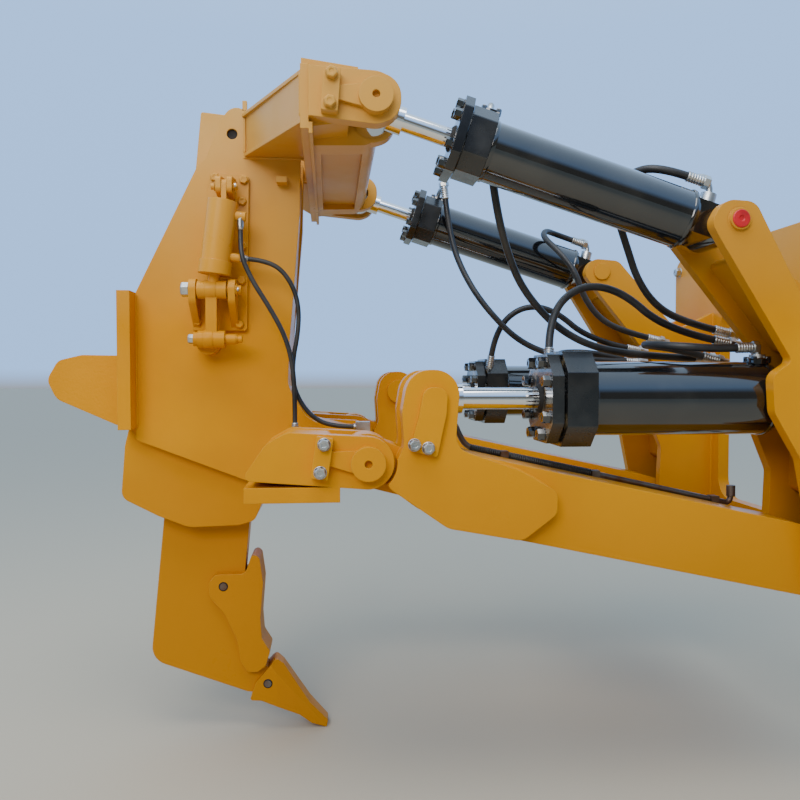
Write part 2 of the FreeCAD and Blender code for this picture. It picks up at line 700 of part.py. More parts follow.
def push_block():
    """The rounded block at the rear that a pushing tractor bears on."""
    return side_slab([
        (-3145, 238, 0),
        (REAR_PLATE_X[0], 238, 0),
        (REAR_PLATE_X[0], -75, 0),
        (-3145, -70, 0),
        (-3400, 45, 70),
        (-3440, 130, 50),
        (-3392, 215, 50),
        (-3290, 240, 60),
    ], -110, 110)


def shank_pin_centre():
    down = (SHANK_TOP - SHANK_PIN_HEIGHT) / math.cos(math.radians(SHANK_LEAN))
    return lean(SHANK_REAR_TOP, SHANK_TOP, SHANK_DEPTH * 0.42, down)


def shank_blank(gap):
    """The shank's bar with its forward nose, grown all round by a gap."""
    points = []
    for along, down, radius in ((0, 0, 10), (SHANK_DEPTH, 0, 10), (SHANK_DEPTH, 2120, 200)):
        x, z = lean(SHANK_REAR_TOP, SHANK_TOP, along, down)
        points.append((x, z, radius))
    x, z = lean(SHANK_REAR_TOP, SHANK_TOP, 0, SHANK_REAR_LENGTH)
    points += SHANK_NOSE + [(x, z, SHANK_HEEL_RADIUS)]
    half = SHANK_THICKNESS / 2 + gap
    wire = corner_rounded(points, lambda a, b: V(a, -half, b))
    if gap:
        wire = wire.makeOffset2D(gap)
    return Part.Face(wire).extrude(V(0, 2 * half, 0))


def shank():
    """The ripper shank: a thick bar, three pin holes, and a nose that curves forward."""
    bar = shank_blank(0)
    half = SHANK_THICKNESS / 2
    centre = shank_pin_centre()
    for step in (-1, 0, 1):
        hole = lean(centre[0], centre[1], 0, step * SHANK_HOLE_PITCH)
        bar = bar.cut(across(hole, SHANK_HOLE_RADIUS, -half - 1, half + 1))
    return bar


def shank_guard():
    """Wear guard on the shank's front edge, with a cheek on each side."""
    cheek = [
        (-2556, -657, 20), (-2524, -690, 20), (-2509, -800, 30), (-2522, -970, 60), (-2516, -1060, 30),
        (-2478, -1122, 20), (-2500, -1190, 20), (-2535, -1215, 15), (-2580, -1215, 15), (-2612, -1163, 30),
        (-2628, -1061, 40), (-2682, -944, 40), (-2748, -863, 30), (-2756, -800, 30), (-2724, -760, 20),
        (-2589, -760, 30),
    ]
    half = SHANK_THICKNESS / 2 + SEAT + GUARD_CHEEK
    whole = side_slab(cheek, -half, half).cut(shank_blank(SEAT))
    return whole.cut(across(GUARD_PIN, SMALL_PIN_RADIUS + RUNNING, -half - 1, half + 1))


def tip_section(half):
    """The tip's cross-section along its crest, narrower at the crest than below."""
    start = V(TIP_CREST[0], 0, TIP_CREST[1])
    along = (V(TIP_POINT[0], 0, TIP_POINT[1]) - start).normalize()
    down = V(along.z, 0, -along.x)
    corners = []
    for y, depth in ((-TIP_CREST_HALF_WIDTH, -2), (TIP_CREST_HALF_WIDTH, -2), (half, 45), (half, 260),
                     (-half, 260), (-half, 45)):
        corners.append(start - along * 300 + down * depth + V(0, y, 0))
    return Part.Face(Part.makePolygon(corners + [corners[0]])).extrude(along * 800)


def shank_tip():
    """The pointed tip, pinned over the shank's nose."""
    side = [
        (-2503, -1222, 10), (-2455, -1168, 15), (*TIP_CREST, 10), (-2352, -1300, 40), (-2298, -1382, 30),
        (*TIP_POINT, 6), (-2220, GROUND, 6), (-2290, GROUND + 25, 20), (-2344, -1432, 30), (-2424, -1396, 20),
        (-2520, -1354, 20), (-2573, -1350, 10), (-2545, -1270, 60),
    ]
    half = SHANK_THICKNESS / 2 + SEAT + TIP_CHEEK
    body = side_slab(side, -half, half)
    taper = level_slab([(-2700, -half, 0), (-2450, -half, 0), (-2180, -48, 0), (-2180, 48, 0),
                        (-2450, half, 0), (-2700, half, 0)], GROUND - 10, -1100)
    whole = body.common(taper).common(tip_section(half)).cut(shank_blank(SEAT))
    return whole.cut(across(TIP_PIN, SMALL_PIN_RADIUS + RUNNING, -half - 1, half + 1))


def retainers():
    """Cross pins through the guard and the tip."""
    face = SHANK_THICKNESS / 2 + SEAT
    pins = []
    for centre, cheek in ((GUARD_PIN, GUARD_CHEEK), (TIP_PIN, TIP_CHEEK)):
        pins.append(across(centre, SMALL_PIN_RADIUS, -face - cheek - 4, -face))
        pins.append(across(centre, SMALL_PIN_RADIUS, face, face + cheek + 4))
    return Part.makeCompound(pins)


TOP_BOX_X = (-2303, -2008)
TOP_BOX_Z = (1029, 1257)
TILT_FORK_INNER = (-CYLINDER_OFFSET + TILT_FORK_GAP / 2, -CYLINDER_OFFSET + TILT_FORK_GAP / 2 + TILT_FORK_PLATE)
TILT_FORK_OUTER = (-CYLINDER_OFFSET - TILT_FORK_GAP / 2 - TILT_FORK_PLATE, -CYLINDER_OFFSET - TILT_FORK_GAP / 2)
TOP_BOX_HALF_WIDTH = -TILT_FORK_OUTER[0]
SPINE_THICKNESS = 30
WING_REAR = -2566
WING_SLOPE = 3.6
COVER_HALF_WIDTH = TOP_BOX_HALF_WIDTH - 35


def tilt_fork_outline():
    """Side view of a fork plate of the top box, round about the tilt rod's pin."""
    pin = TILT_ROD_PIN
    rear = TOP_BOX_X[0] + SPINE_THICKNESS
    low, high = TOP_BOX_Z
    return [
        (rear, high - 12, 0),
        (pin[0] + 10, high - 24, 90),
        (pin[0] + 92, pin[1] + 62, 80),
        (pin[0] + 92, pin[1] - 62, 80),
        (pin[0] + 10, pin[1] - 92, 90),
        (rear, low + 40, 0),
    ]


def swept_wing(side):
    """A wing from the side plate out to the top box: a web with a rimmed top and bottom, rising inwards."""
    rear = TOP_BOX_X[0]
    low, high = TOP_BOX_Z
    inner, outer = side * (CARRIAGE_HALF_WIDTH - 12), side * (TOP_BOX_HALF_WIDTH - 40)
    between_sides = block((WING_REAR - 60, rear), (-CARRIAGE_HALF_WIDTH, CARRIAGE_HALF_WIDTH), (low, high + 100))
    layers = []
    for lip, foot, head in ((0, low + 44, high - 24), (16, high - 26, high - 12), (14, low + 32, low + 46)):
        outline = [(WING_REAR - lip, inner, 0), (rear + 5, inner, 0), (rear + 5, outer + side * lip / 2, 0)]
        layer = level_slab(outline, foot, head)
        layer.rotate(V(rear, outer, high), V(1, 0, 0), -side * WING_SLOPE)
        layers.append(layer.cut(between_sides))
    return layers


def top_box():
    """The transverse box at the top of the carriage, with forks for the tilt rods and swept wings."""
    pin = TILT_ROD_PIN
    rear, front = TOP_BOX_X
    low, high = TOP_BOX_Z
    half = TOP_BOX_HALF_WIDTH
    inner = -TILT_FORK_INNER[1]
    spine = block((rear, rear + SPINE_THICKNESS), (-half + 20, half - 20), (low, high))
    rib = block((rear + SPINE_THICKNESS, rear + SPINE_THICKNESS + 14), (-half + 20, half - 20), (low - 16, low + 24))
    middle = side_slab([
        (rear + SPINE_THICKNESS, high - 2, 0),
        (rear + 207, high - 26, 0),
        (front, high - 40, 40),
        (front, low + 8, 70),
        (rear + SPINE_THICKNESS, low, 0),
    ], -inner - TILT_FORK_PLATE, inner + TILT_FORK_PLATE)
    recess = block((rear + 70, front - 60), (-inner + 60, inner - 60), (low - 20, low + 30))
    pieces = [spine, rib, middle.cut(recess)]
    for side in (-1, 1):
        for band in (TILT_FORK_OUTER, TILT_FORK_INNER):
            low_y, high_y = sorted((side * band[0], side * band[1]))
            pieces.append(side_slab(tilt_fork_outline(), low_y, high_y))
        low_y, high_y = sorted((side * TILT_FORK_OUTER[1], side * TILT_FORK_INNER[0]))
        base = [(rear + SPINE_THICKNESS, high - 4, 0), (pin[0] - 94, high - 18, 0), (pin[0] - 94, low + 40, 0),
                (rear + SPINE_THICKNESS, low + 20, 0)]
        pieces.append(side_slab(base, low_y, high_y))
        pieces += swept_wing(side)
    cover = [(rear + 3, high + 26, 0), (rear + 207, high, 0), (rear + 207, high - 25, 0), (rear + 3, high + 1, 0)]
    pieces.append(side_slab(cover, -COVER_HALF_WIDTH, COVER_HALF_WIDTH))
    whole = joined(pieces)
    for side in (-1, 1):
        low_y, high_y = sorted((-side * (TOP_BOX_HALF_WIDTH + 1), side * TILT_FORK_INNER[1]))
        whole = whole.cut(across(pin, PIN_RADIUS + RUNNING, low_y, high_y))
    return whole


def tilt_rod_pins():
    """Pin ends in the forks of the top box, with their flags."""
    pin = TILT_ROD_PIN
    outer = across(pin, PIN_RADIUS, TILT_FORK_OUTER[0] - SEAT, TILT_FORK_OUTER[1])
    keeper = pin_keeper(pin, TILT_FORK_OUTER[0] - SEAT, 150, math.radians(176))
    return both_sides(joined([outer, keeper]))


PULLER_TOP = (-2637, 938)
PULLER_HUB = (-2690, 508)
PULLER_LOWER = (-2704, 302)
PULLER_Y = -320
PULLER_HUB_RADIUS = 38
PULLER_HEAD_RADIUS = 36
PULLER_BOLT_RADIUS = 20
PULLER_PIN_RADIUS = 13


def along_x(radius, centre, offset, length):
    """A round bar along X in the puller's plane, from an offset beside a centre."""
    return Part.makeCylinder(radius, length, V(centre[0] + offset, PULLER_Y, centre[1]), V(1, 0, 0))


def puller_base():
    """Pad plate on the right side plate with the head clevis and the lower ears."""
    face = -CARRIAGE_HALF_WIDTH
    pad = side_slab([(-2795, 344, 15), (-2558, 344, 15), (-2546, 1015, 15), (-2711, 1022, 15)], face - 22, face)
    top, hub = PULLER_TOP[1], PULLER_HUB[1]
    ears = []
    for offset in (-34, 12):
        lug = cross_slab([(face - 22, top - 40, 0), (PULLER_Y - 30, top - 26, 20), (PULLER_Y - 30, top + 38, 20),
                          (face - 22, top + 58, 0)], PULLER_TOP[0] + offset, PULLER_TOP[0] + offset + 22)
        ears.append(lug)
    for offset in (-96, 66):
        lug = cross_slab([(face - 22, hub - 150, 0), (PULLER_Y - 20, hub - 50, 40), (PULLER_Y - 35, hub + 42, 40),
                          (PULLER_Y + 30, hub + 48, 30), (face - 22, hub + 10, 0)],
                         PULLER_HUB[0] + offset, PULLER_HUB[0] + offset + 30)
        ears.append(lug)
    whole = joined([pad] + ears)
    whole = whole.cut(along_x(PULLER_PIN_RADIUS + RUNNING, PULLER_TOP, -60, 120))
    return whole.cut(along_x(PULLER_BOLT_RADIUS + RUNNING, PULLER_HUB, -150, 300))


def puller_cylinder():
    """The small cylinder that draws the shank pin, leaning from its clevis to the hub."""
    x, top = PULLER_TOP
    rise = top - PULLER_HUB[1]
    lean_angle = math.degrees(math.atan2(x - PULLER_HUB[0], rise))

    def below(radius, near, far):
        return Part.makeCylinder(radius, far - near, V(x, PULLER_Y, top - far), V(0, 0, 1))

    parts = [
        below(62, 60, 314),
        below(68, 312, 368),
        below(24, 350, rise),
        along_x(20, (x, top - 113), 40, 61),
        along_x(18, (x, top - 287), 40, 60),
    ]
    for piece in parts:
        piece.rotate(V(x, PULLER_Y, top), V(0, 1, 0), lean_angle)
    tongue = cross_slab([(PULLER_Y - 26, top - 70, 0), (PULLER_Y - 26, top + 30, 25), (PULLER_Y + 26, top + 30, 25),
                         (PULLER_Y + 26, top - 70, 0)], x - 11, x + 11)
    pin = along_x(PULLER_PIN_RADIUS, PULLER_TOP, -55, 110)
    whole = joined(parts + [tongue, pin])
    return whole.cut(along_x(PULLER_HUB_RADIUS + SEAT, PULLER_HUB, -80, 160))


def puller_lever():
    """Hub, lever and lower cross head that carries the shank pin."""
    hub = along_x(PULLER_HUB_RADIUS, PULLER_HUB, -60, 120)
    bolt = along_x(PULLER_BOLT_RADIUS, PULLER_HUB, -124, 244)
    head = along_x(PULLER_HEAD_RADIUS, PULLER_LOWER, -46, 112)
    disc = along_x(PULLER_HEAD_RADIUS - 6, PULLER_LOWER, -64, 24)
    head_bolt = along_x(16, PULLER_LOWER, -84, 220)
    sleeve = along_x(22, PULLER_LOWER, 60, 52)
    middle, low = PULLER_HUB[0], PULLER_LOWER[1]
    lever = cross_slab([(PULLER_Y - 22, PULLER_HUB[1], 0), (PULLER_Y + 22, PULLER_HUB[1], 0),
                        (PULLER_Y + 22, low, 0), (PULLER_Y - 22, low, 0)], middle - 26, middle + 20)
    return joined([hub, bolt, head, disc, head_bolt, sleeve, lever])


def shank_pin():
    """The pin that locks the shank in the carriage, as far as the puller's cross head."""
    centre = shank_pin_centre()
    start = PULLER_Y + PULLER_HEAD_RADIUS + SEAT
    return across(centre, SHANK_HOLE_RADIUS - 0.2, start, CARRIAGE_HALF_WIDTH + 10)


# Hoses and their fittings. The routes are for the right side, as corner points.
HOSE = 32
SMALL_HOSE = 20
PIPE = 26
FERRULE_LENGTH = 60
HOSE_ROUTES = {
    "tilt_hose_gland": [
        (-1571, -545, 1120), (-1545, -545, 900), (-1480, -470, 690), (-1375, -384, 500),
        (-1180, -384, 310), (-920, -384, 235), (-600, -384, 225),
    ],
    "tilt_hose_head": [
        (-800, -700, 925), (-905, -695, 958), (-990, -627, 967), (-1035, -515, 910), (-970, -410, 810),
        (-905, -352, 700), (-860, -350, 570), (-775, -350, 455), (-650, -350, 388), (-495, -350, 350),
    ],
    "lift_hose_gland": [
        (-1312, -550, 250), (-1298, -505, 400), (-1165, -470, 528), (-985, -470, 512),
        (-785, -470, 345), (-560, -470, 300),
    ],
    "lift_hose_head": [
        (-600, -720, 258), (-712, -722, 255), (-822, -720, 263), (-906, -636, 271), (-906, -519, 278),
        (-822, -435, 276), (-698, -435, 259), (-590, -435, 230),
    ],
}
PULLER_ROUTES = {
    "puller_hose_upper": [
        (-2572, -322, 770), (-2572, -322, 712), (-2566, -354, 662), (-2553, -358, 612), (-2513, -358, 531),
        (-2451, -358, 434), (-2389, -356, 321), (-2357, -350, 205), (-2348, -345, 70), (-2348, -345, -60),
    ],
    "puller_hose_lower": [
        (-2550, -320, 640), (-2490, -320, 636), (-2410, -320, 606), (-2355, -320, 530), (-2330, -320, 440),
        (-2334, -320, 330), (-2358, -320, 210), (-2355, -320, 90), (-2290, -320, -20), (-2195, -320, -70),
        (-2090, -320, -70),
    ],
}


def bent(points, diameter):
    """A bent tube through its corner points: straight runs, and arcs that touch them both."""
    corners = [V(*point) for point in points]
    edges = []
    here = corners[0]
    length = 0
    tightest = None
    for before, corner, after in zip(corners, corners[1:], corners[2:]):
        back = before - corner
        ahead = after - corner
        reach = 0.45 * min(back.Length, ahead.Length)
        half = back.getAngle(ahead) / 2
        radius = reach * math.tan(half)
        back.normalize()
        ahead.normalize()
        start = corner + back * reach
        end = corner + ahead * reach
        middle = corner + (back + ahead).normalize() * (radius / math.sin(half) - radius)
        edges.append(Part.LineSegment(here, start).toShape())
        edges.append(Part.Arc(start, middle, end).toShape())
        length += (start - here).Length + radius * (math.pi - 2 * half)
        tightest = radius if tightest is None else min(tightest, radius)
        here = end
    edges.append(Part.LineSegment(here, corners[-1]).toShape())
    length += (corners[-1] - here).Length
    ring = Part.Wire(Part.makeCircle(diameter / 2, corners[0], corners[1] - corners[0]))
    solid = Part.Wire(edges).makePipeShell([ring], True, False)
    return solid, length, tightest


def hose(name, points, diameter):
    """A hose, whose length, tightest bend and section are printed."""
    solid, length, tightest = bent(points, diameter)
    section = math.pi * diameter ** 2 / 4
    print(name, "length", round(length), "radius", round(tightest), "of 1", round(solid.Volume / section / length, 3))
    return solid


def stub(start, towards, radius, length, inward=0):
    """A round piece that begins at a point and heads for another."""
    heading = (V(*towards) - V(*start)).normalize()
    return Part.makeCylinder(radius, length + inward, V(*start) - heading * inward, heading)


def ferrule(face, towards):
    """A crimped end with its hexagon nut, with its open face on the hose's end."""
    heading = (V(*face) - V(*towards)).normalize()
    far = V(*face) + heading * FERRULE_LENGTH
    sleeve = Part.makeCylinder(HOSE / 2 + 3, FERRULE_LENGTH, V(*face), heading)
    nut = Part.makeCylinder(HOSE / 2 + 6, 22, far, heading)
    return [sleeve, nut], far + heading * 22


def tractor_end(route):
    """The coupling at a hose's tractor end."""
    pieces, end = ferrule(route[-1], route[-2])
    heading = (V(*route[-1]) - V(*route[-2])).normalize()
    return joined(pieces + [Part.makeCylinder(HOSE / 2 + 2, 26, end, heading)])


def tilt_fittings(carriers):
    """The tilt cylinder's ports, elbows and hose ends."""
    head, gland_end = HOSE_ROUTES["tilt_hose_head"], HOSE_ROUTES["tilt_hose_gland"]
    port = (-735, -700, 800)
    elbow, _, _ = bent([port, (-715, -700, 880), (-735, -700, 925), (-770, -700, 925)], PIPE)
    pieces, _ = ferrule(head[0], head[1])
    head_side = joined([stub(port, (-715, -700, 880), 30, 62), elbow] + pieces)
    start = (-1606, -700, 1090)
    top = (-1584, -700, 1185)
    over = (-1571, -545, 1185)
    loop, _, _ = bent([start, top, over, (-1571, -545, 1130)], PIPE)
    pieces, _ = ferrule(gland_end[0], gland_end[1])
    gland_side = joined([stub(start, top, 30, 62), loop] + pieces)
    ends = [tractor_end(route) for route in (head, gland_end)]
    return Part.makeCompound([head_side.cut(carriers), gland_side.cut(carriers)] + ends)


def lift_fittings(carriers):
    """The lift cylinder's ports, elbows and hose ends."""
    head, gland_end = HOSE_ROUTES["lift_hose_head"], HOSE_ROUTES["lift_hose_gland"]
    port = (-522, -720, 190)
    elbow, _, _ = bent([port, (-522, -720, 258), (-560, -720, 258)], PIPE)
    pieces, _ = ferrule(head[0], head[1])
    head_side = joined([stub(port, (-522, -720, 258), 30, 42), elbow] + pieces)
    pieces, _ = ferrule(gland_end[0], gland_end[1])
    gland_side = joined(pieces)
    ends = [tractor_end(route) for route in (head, gland_end)]
    return Part.makeCompound([head_side.cut(carriers), gland_side.cut(carriers)] + ends)


ARM_PIPE = 24
ARM_PIPE_Y = ARM_INNER + 26
ARM_PIPE_CLIPS = (-1500, -1120, -610)


def arm_top(x):
    """Height of the arm's upper face."""
    rear_x, rear_z = LIFT_ROD_PIN[0] + 128, CARRIAGE_PIVOT[1] + 27
    front_x, front_z = ARM_PIVOT[0] - 147, ARM_PIVOT[1] + 177
    return rear_z + (x - rear_x) * (front_z - rear_z) / (front_x - rear_x)


def arm_pipe(arm):
    """A steel pipe clipped along the top of the right arm, ending in a hose coupling."""
    y, rise = ARM_PIPE_Y, 8
    points = [(-1695, y, -60), (-1655, y, arm_top(-1655) + rise), (-1100, y, arm_top(-1100) + rise + 3),
              (-590, y, arm_top(-590) + rise), (-535, y, -385), (-530, y, -335)]
    pipe, _, _ = bent(points, ARM_PIPE)
    pieces = [pipe, stub((-530, y, -355), (-530, y, -200), 18, 45), stub((-1695, y, -72), (-1735, y, 0), 19, 40)]
    for x in ARM_PIPE_CLIPS:
        pieces.append(block((x - 16, x + 16), (ARM_INNER - 2, y + 18), (arm_top(x) - 60, arm_top(x) + 26)))
    return joined(pieces).cut(arm)


def puller_fittings(carriers):
    """Ends of the puller's hoses: at the cylinder's ports and on the carriage's side box."""
    upper, lower = PULLER_ROUTES["puller_hose_upper"], PULLER_ROUTES["puller_hose_lower"]
    at_port = stub(upper[0], (upper[0][0], upper[0][1], 2000), 15, 40)
    side_port = stub(lower[0], (-2700, PULLER_Y, lower[0][2]), 15, 34)
    foot = stub(upper[-1], (upper[-1][0], upper[-1][1], -2000), 15, 90)
    base = block((-2090, -2030), (-345, -295), (-140, -48))
    return Part.makeCompound([piece.cut(carriers) for piece in (at_port, side_port, foot, base)])


def build():
    """Every node of the ripper by name."""
    nodes = {"mount_plate": mount_plate()}
    pairs = {
        "bracket": bracket(),
        "head_pins": head_pins(),
        "draft_arm": draft_arm(),
        "lift_rod_pins": lift_rod_pins(),
        "lower_clevis": lower_clevis(),
        "tilt_head_pin": tilt_head_pin(),
    }
    for kind, name, head, rod_pin in ((LIFT, "lift", LIFT_HEAD_PIN, LIFT_ROD_PIN),
                                      (TILT, "tilt", TILT_HEAD_PIN, TILT_ROD_PIN)):
        length = distance(head, rod_pin)
        pairs[name + "_barrel"] = laid_out(barrel(kind), head, rod_pin)
        pairs[name + "_gland"] = laid_out(gland(kind), head, rod_pin)
        pairs[name + "_rod"] = laid_out(rod(kind, length), head, rod_pin)
    for name, route in HOSE_ROUTES.items():
        pairs[name] = hose(name, route, HOSE)
    pairs["tilt_fittings"] = tilt_fittings([pairs["tilt_barrel"], pairs["tilt_gland"]])
    pairs["lift_fittings"] = lift_fittings([pairs["lift_barrel"], pairs["lift_gland"]])
    for name, shape in pairs.items():
        nodes[name + "_right"] = shape
        nodes[name + "_left"] = mirrored(shape)
    nodes["cross_beam"] = cross_beam()
    nodes["rear_pins"] = rear_pins()
    nodes["rear_pin_flags"] = rear_pin_flags()
    nodes["carriage_frame"] = carriage_frame()
    nodes["push_block"] = push_block()
    nodes["top_box"] = top_box()
    nodes["tilt_rod_pins"] = tilt_rod_pins()
    nodes["shank"] = shank()
    nodes["shank_guard"] = shank_guard()
    nodes["shank_tip"] = shank_tip()
    nodes["retainers"] = retainers()
    nodes["puller_base"] = puller_base()
    nodes["puller_cylinder"] = puller_cylinder()
    nodes["puller_lever"] = puller_lever()
    nodes["shank_pin"] = shank_pin()
    for name, route in PULLER_ROUTES.items():
        nodes[name] = hose(name, route, SMALL_HOSE)
    seats = ["puller_cylinder", "lower_clevis_right", "puller_hose_upper", "puller_hose_lower"]
    nodes["puller_fittings"] = puller_fittings([nodes[name] for name in seats])
    nodes["arm_pipe_right"] = arm_pipe(nodes["draft_arm_right"])
    return nodes


os.makedirs("parts", exist_ok=True)
for node, solid in build().items():
    solid.exportStep(os.path.join("parts", node + ".step"))
    print(node, len(solid.Solids), round(solid.Volume / 1e9, 4), solid.isValid())
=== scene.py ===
import json
import math
import random

import bmesh
import bpy
from mathutils import Matrix, Vector


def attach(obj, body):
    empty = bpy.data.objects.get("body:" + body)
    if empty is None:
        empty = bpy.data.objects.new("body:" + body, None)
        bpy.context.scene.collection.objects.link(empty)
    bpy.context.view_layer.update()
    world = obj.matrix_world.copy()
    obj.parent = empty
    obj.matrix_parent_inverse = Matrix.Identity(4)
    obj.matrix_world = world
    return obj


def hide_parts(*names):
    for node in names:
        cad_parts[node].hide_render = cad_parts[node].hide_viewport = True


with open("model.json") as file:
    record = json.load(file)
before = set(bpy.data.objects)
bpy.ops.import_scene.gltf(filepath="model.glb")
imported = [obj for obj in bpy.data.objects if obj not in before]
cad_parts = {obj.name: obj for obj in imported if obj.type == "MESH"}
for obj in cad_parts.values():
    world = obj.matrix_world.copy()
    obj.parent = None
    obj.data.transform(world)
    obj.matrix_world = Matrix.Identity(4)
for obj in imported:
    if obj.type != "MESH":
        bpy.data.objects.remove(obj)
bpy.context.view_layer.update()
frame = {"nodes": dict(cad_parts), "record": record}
NODES = frame["nodes"]

# Camera, in the row frame
CAMERA_PLACE = (-2.200, -3.539, 0.151)
CAMERA_TURN = math.radians(5.332)
CAMERA_DIP = math.radians(1.901)
CAMERA_LENS = 33.75
SENSOR = 36.0
GROUND = -1.5
FLOOR_HALF = 95.0

# Colours
AMBER = (0.70, 0.285, 0.0)
# Painted shade: a darker amber for the paint lower down
AMBER_DEEP = (0.60, 0.23, 0.0)
AMBER_SHADED = (0.50, 0.185, 0.0)
AMBER_TAN = (0.60, 0.36, 0.10)
# Painted highlight: a lighter amber along the paint's edges
AMBER_EDGE_HIGHLIGHT = (0.74, 0.42, 0.06)
GLOSS_BLACK = (0.0045, 0.0050, 0.0060)
GLOSS_BLACK_DUSTY = (0.020, 0.019, 0.017)
OVERSPRAY = (0.30, 0.22, 0.11)
CHROME = (0.78, 0.78, 0.79)
ZINC = (0.60, 0.61, 0.60)
ZINC_DULL = (0.36, 0.36, 0.34)
STEEL = (0.20, 0.19, 0.18)
RUST = (0.17, 0.075, 0.030)
RUBBER = (0.010, 0.010, 0.011)
RUBBER_DUSTY = (0.040, 0.037, 0.032)
RED = (0.60, 0.012, 0.014)
RED_DEEP = (0.42, 0.008, 0.010)
# Near black of the rod wipers' rubber, also used as painted shade in the lug holes and round the
# retaining pins
RUBBER_AND_SHADE_DARK = (0.010, 0.007, 0.003)
FLOOR = (0.47, 0.39, 0.27)
YARD = (0.10, 0.10, 0.09)

# Surround: colours by height, from straight down at 0 to straight up at 1
BELOW = (0.40, (0.12, 0.10, 0.07, 1.0))
ABOVE = (1.0, (0.62, 0.80, 1.0, 1.0))
BETWEEN = [
    (0.490, (0.24, 0.22, 0.18, 1.0)),
    (0.503, (0.30, 0.52, 0.92, 1.0)),
    (0.70, (0.31, 0.54, 0.96, 1.0)),
]
SURROUND_STRENGTH = 1.6

# Soft lights: place, target, size, power and colour
LAMPS = {
    "sky_panel": ((-2.8, -2.2, 5.5), (-1.8, 0.0, 0.0), (5.0, 3.0), 210.0, (1.0, 0.97, 0.92)),
    "side_panel": ((-5.0, -7.5, 4.2), (-1.8, 0.0, 0.2), (5.0, 3.5), 420.0, (1.0, 0.95, 0.88)),
}

# Pivots and sizes of the frame, in millimetres; pivots as X and Z
MM = 0.001
SIDES = {"right": 1, "left": -1}
TILT_ROD_PIN = (-2035, 1137)
TILT_HEAD_PIN = (-705, 722)
LIFT_ROD_PIN = (-1825, 62)
LIFT_HEAD_PIN = (-330, 60)
CYLINDER_Y = -700
PAD_FACE = -222
MOUNT_FACE = -60
TILT_PIN_FACE = -912.3
CYLINDERS = {
    "lift": {
        "head": LIFT_HEAD_PIN, "rod_pin": LIFT_ROD_PIN, "barrel": 144, "start": 115, "end": 893,
        "dome": 60, "front": 1061, "cap": 168, "rod": 42, "flats": 40,
    },
    "tilt": {
        "head": TILT_HEAD_PIN, "rod_pin": TILT_ROD_PIN, "barrel": 113, "start": 100, "end": 945,
        "dome": 30, "front": 1081, "cap": 141, "rod": 36, "flats": 34,
    },
}
CAP_BOLT_SPREAD = 19

# Pin puller: its three cross bolts, and discs and collars on them as (offset, radius, width)
PULLER_Y = -320
PULLER_TOP = (-2637, 938)
PULLER_HUB = (-2690, 508)
PULLER_LOWER = (-2704, 302)
PULLER_DISCS = [
    (PULLER_HUB, 98, 27, 5),
    (PULLER_LOWER, 112, 20, 5),
    (PULLER_TOP, -42, 19, 4),
    (PULLER_TOP, 38, 19, 4),
]
PULLER_COLLARS = [(PULLER_HUB, -28, 40, 46), (PULLER_LOWER, -22, 38.5, 40)]
PULLER_HEADS = [(PULLER_HUB, -97, 54, 31), (PULLER_LOWER, -63, 36, 24)]
PULLER_SPLIT_PINS = [(PULLER_HUB, 109), (PULLER_TOP, 48)]

# Fasteners and small trim
PORTS = {
    "tilt": ((-1597, -700, 1130), (-1584, -700, 1185)),
    "lift": ((-522, -720, 196), (-522, -720, 258)),
}
PORT_FLANGE_RADIUS = 24
PORT_FLANGE_REACH = 42
KEEPER_BOLTS = [
    ("rear_keeper_bolts", "carriage", -905.3, [(-2235.3, -191.6), (-2221.4, -92.6)], True),
    ("tilt_keeper_bolts", "carriage", -885.3, [(-2198.1, 1098.3), (-2191.1, 1198.1)], False),
    ("flag_bolts", "draft_frame", -892.3, [(-1901, -98), (-1851, -110)], True),
]
KEEPER_BOLT_FLATS = 38
PAD_BOLTS = [
    (-2690, 1000), (-2568, 992), (-2575, 901), (-2728, 708),
    (-2575, 708), (-2580, 560), (-2768, 382), (-2590, 372),
]
PAD_BOLT_FLATS = 32
PAD_BOLT_HEIGHT = 15
MOUNT_BOLT_COLUMN = 905
MOUNT_BOLT_ROWS = (-780, -300, 300, 780)
MOUNT_BOLT_FLATS = 46
LUG_HOLE = (-2619, 1195)
LUG_HOLE_FACE = -184
PIPE_SLEEVE = ((-1640, -554, -142.5), (-1135, -554, -250.4))
PIPE_RIB = 4.5
RETAINERS = [(-2688, -815, 82.3), (-2490, -1275, 74.3)]

# Weld seams on the right side, each mirrored to the left: a piece's body, radius and paths
WELDS = {
    "bracket_welds": ("mount", 8.0, [
        [(-60, -900, 496), (-60, -900, -796)],
        [(-60, -850, 396), (-60, -850, 248)],
        [(-60, -550, 396), (-60, -550, 248)],
        [(-60, -500, 496), (-60, -500, -796)],
    ]),
    "arm_welds": ("draft_frame", 7.0, [
        [
            (-1618, -820, -161), (-1505, -820, -200), (-1371, -820, -277),
            (-1370, -820, -360), (-1500, -820, -456), (-1590, -820, -440),
        ],
        [
            (-820, -580, -580), (-1000, -580, -560), (-1000, -580, -340),
            (-640, -580, -400), (-640, -580, -600), (-820, -580, -580),
        ],
    ]),
    "carriage_welds": ("carriage", 7.0, [
        [(-3034, -200, -76), (-3034, -200, 500)],
        [(-2450, -200, -150), (-2190, -200, -118)],
        [(-2306, -200, 1095), (-2400, -200, 1095), (-2572, -200, 1095)],
        [(-2566, -200, 1112), (-2566, -200, 1264)],
        [(-2303, -800, 1076), (-2303, -800, 1230)],
    ]),
}
WELD_STEP = 7.0
WELD_SEED = 11

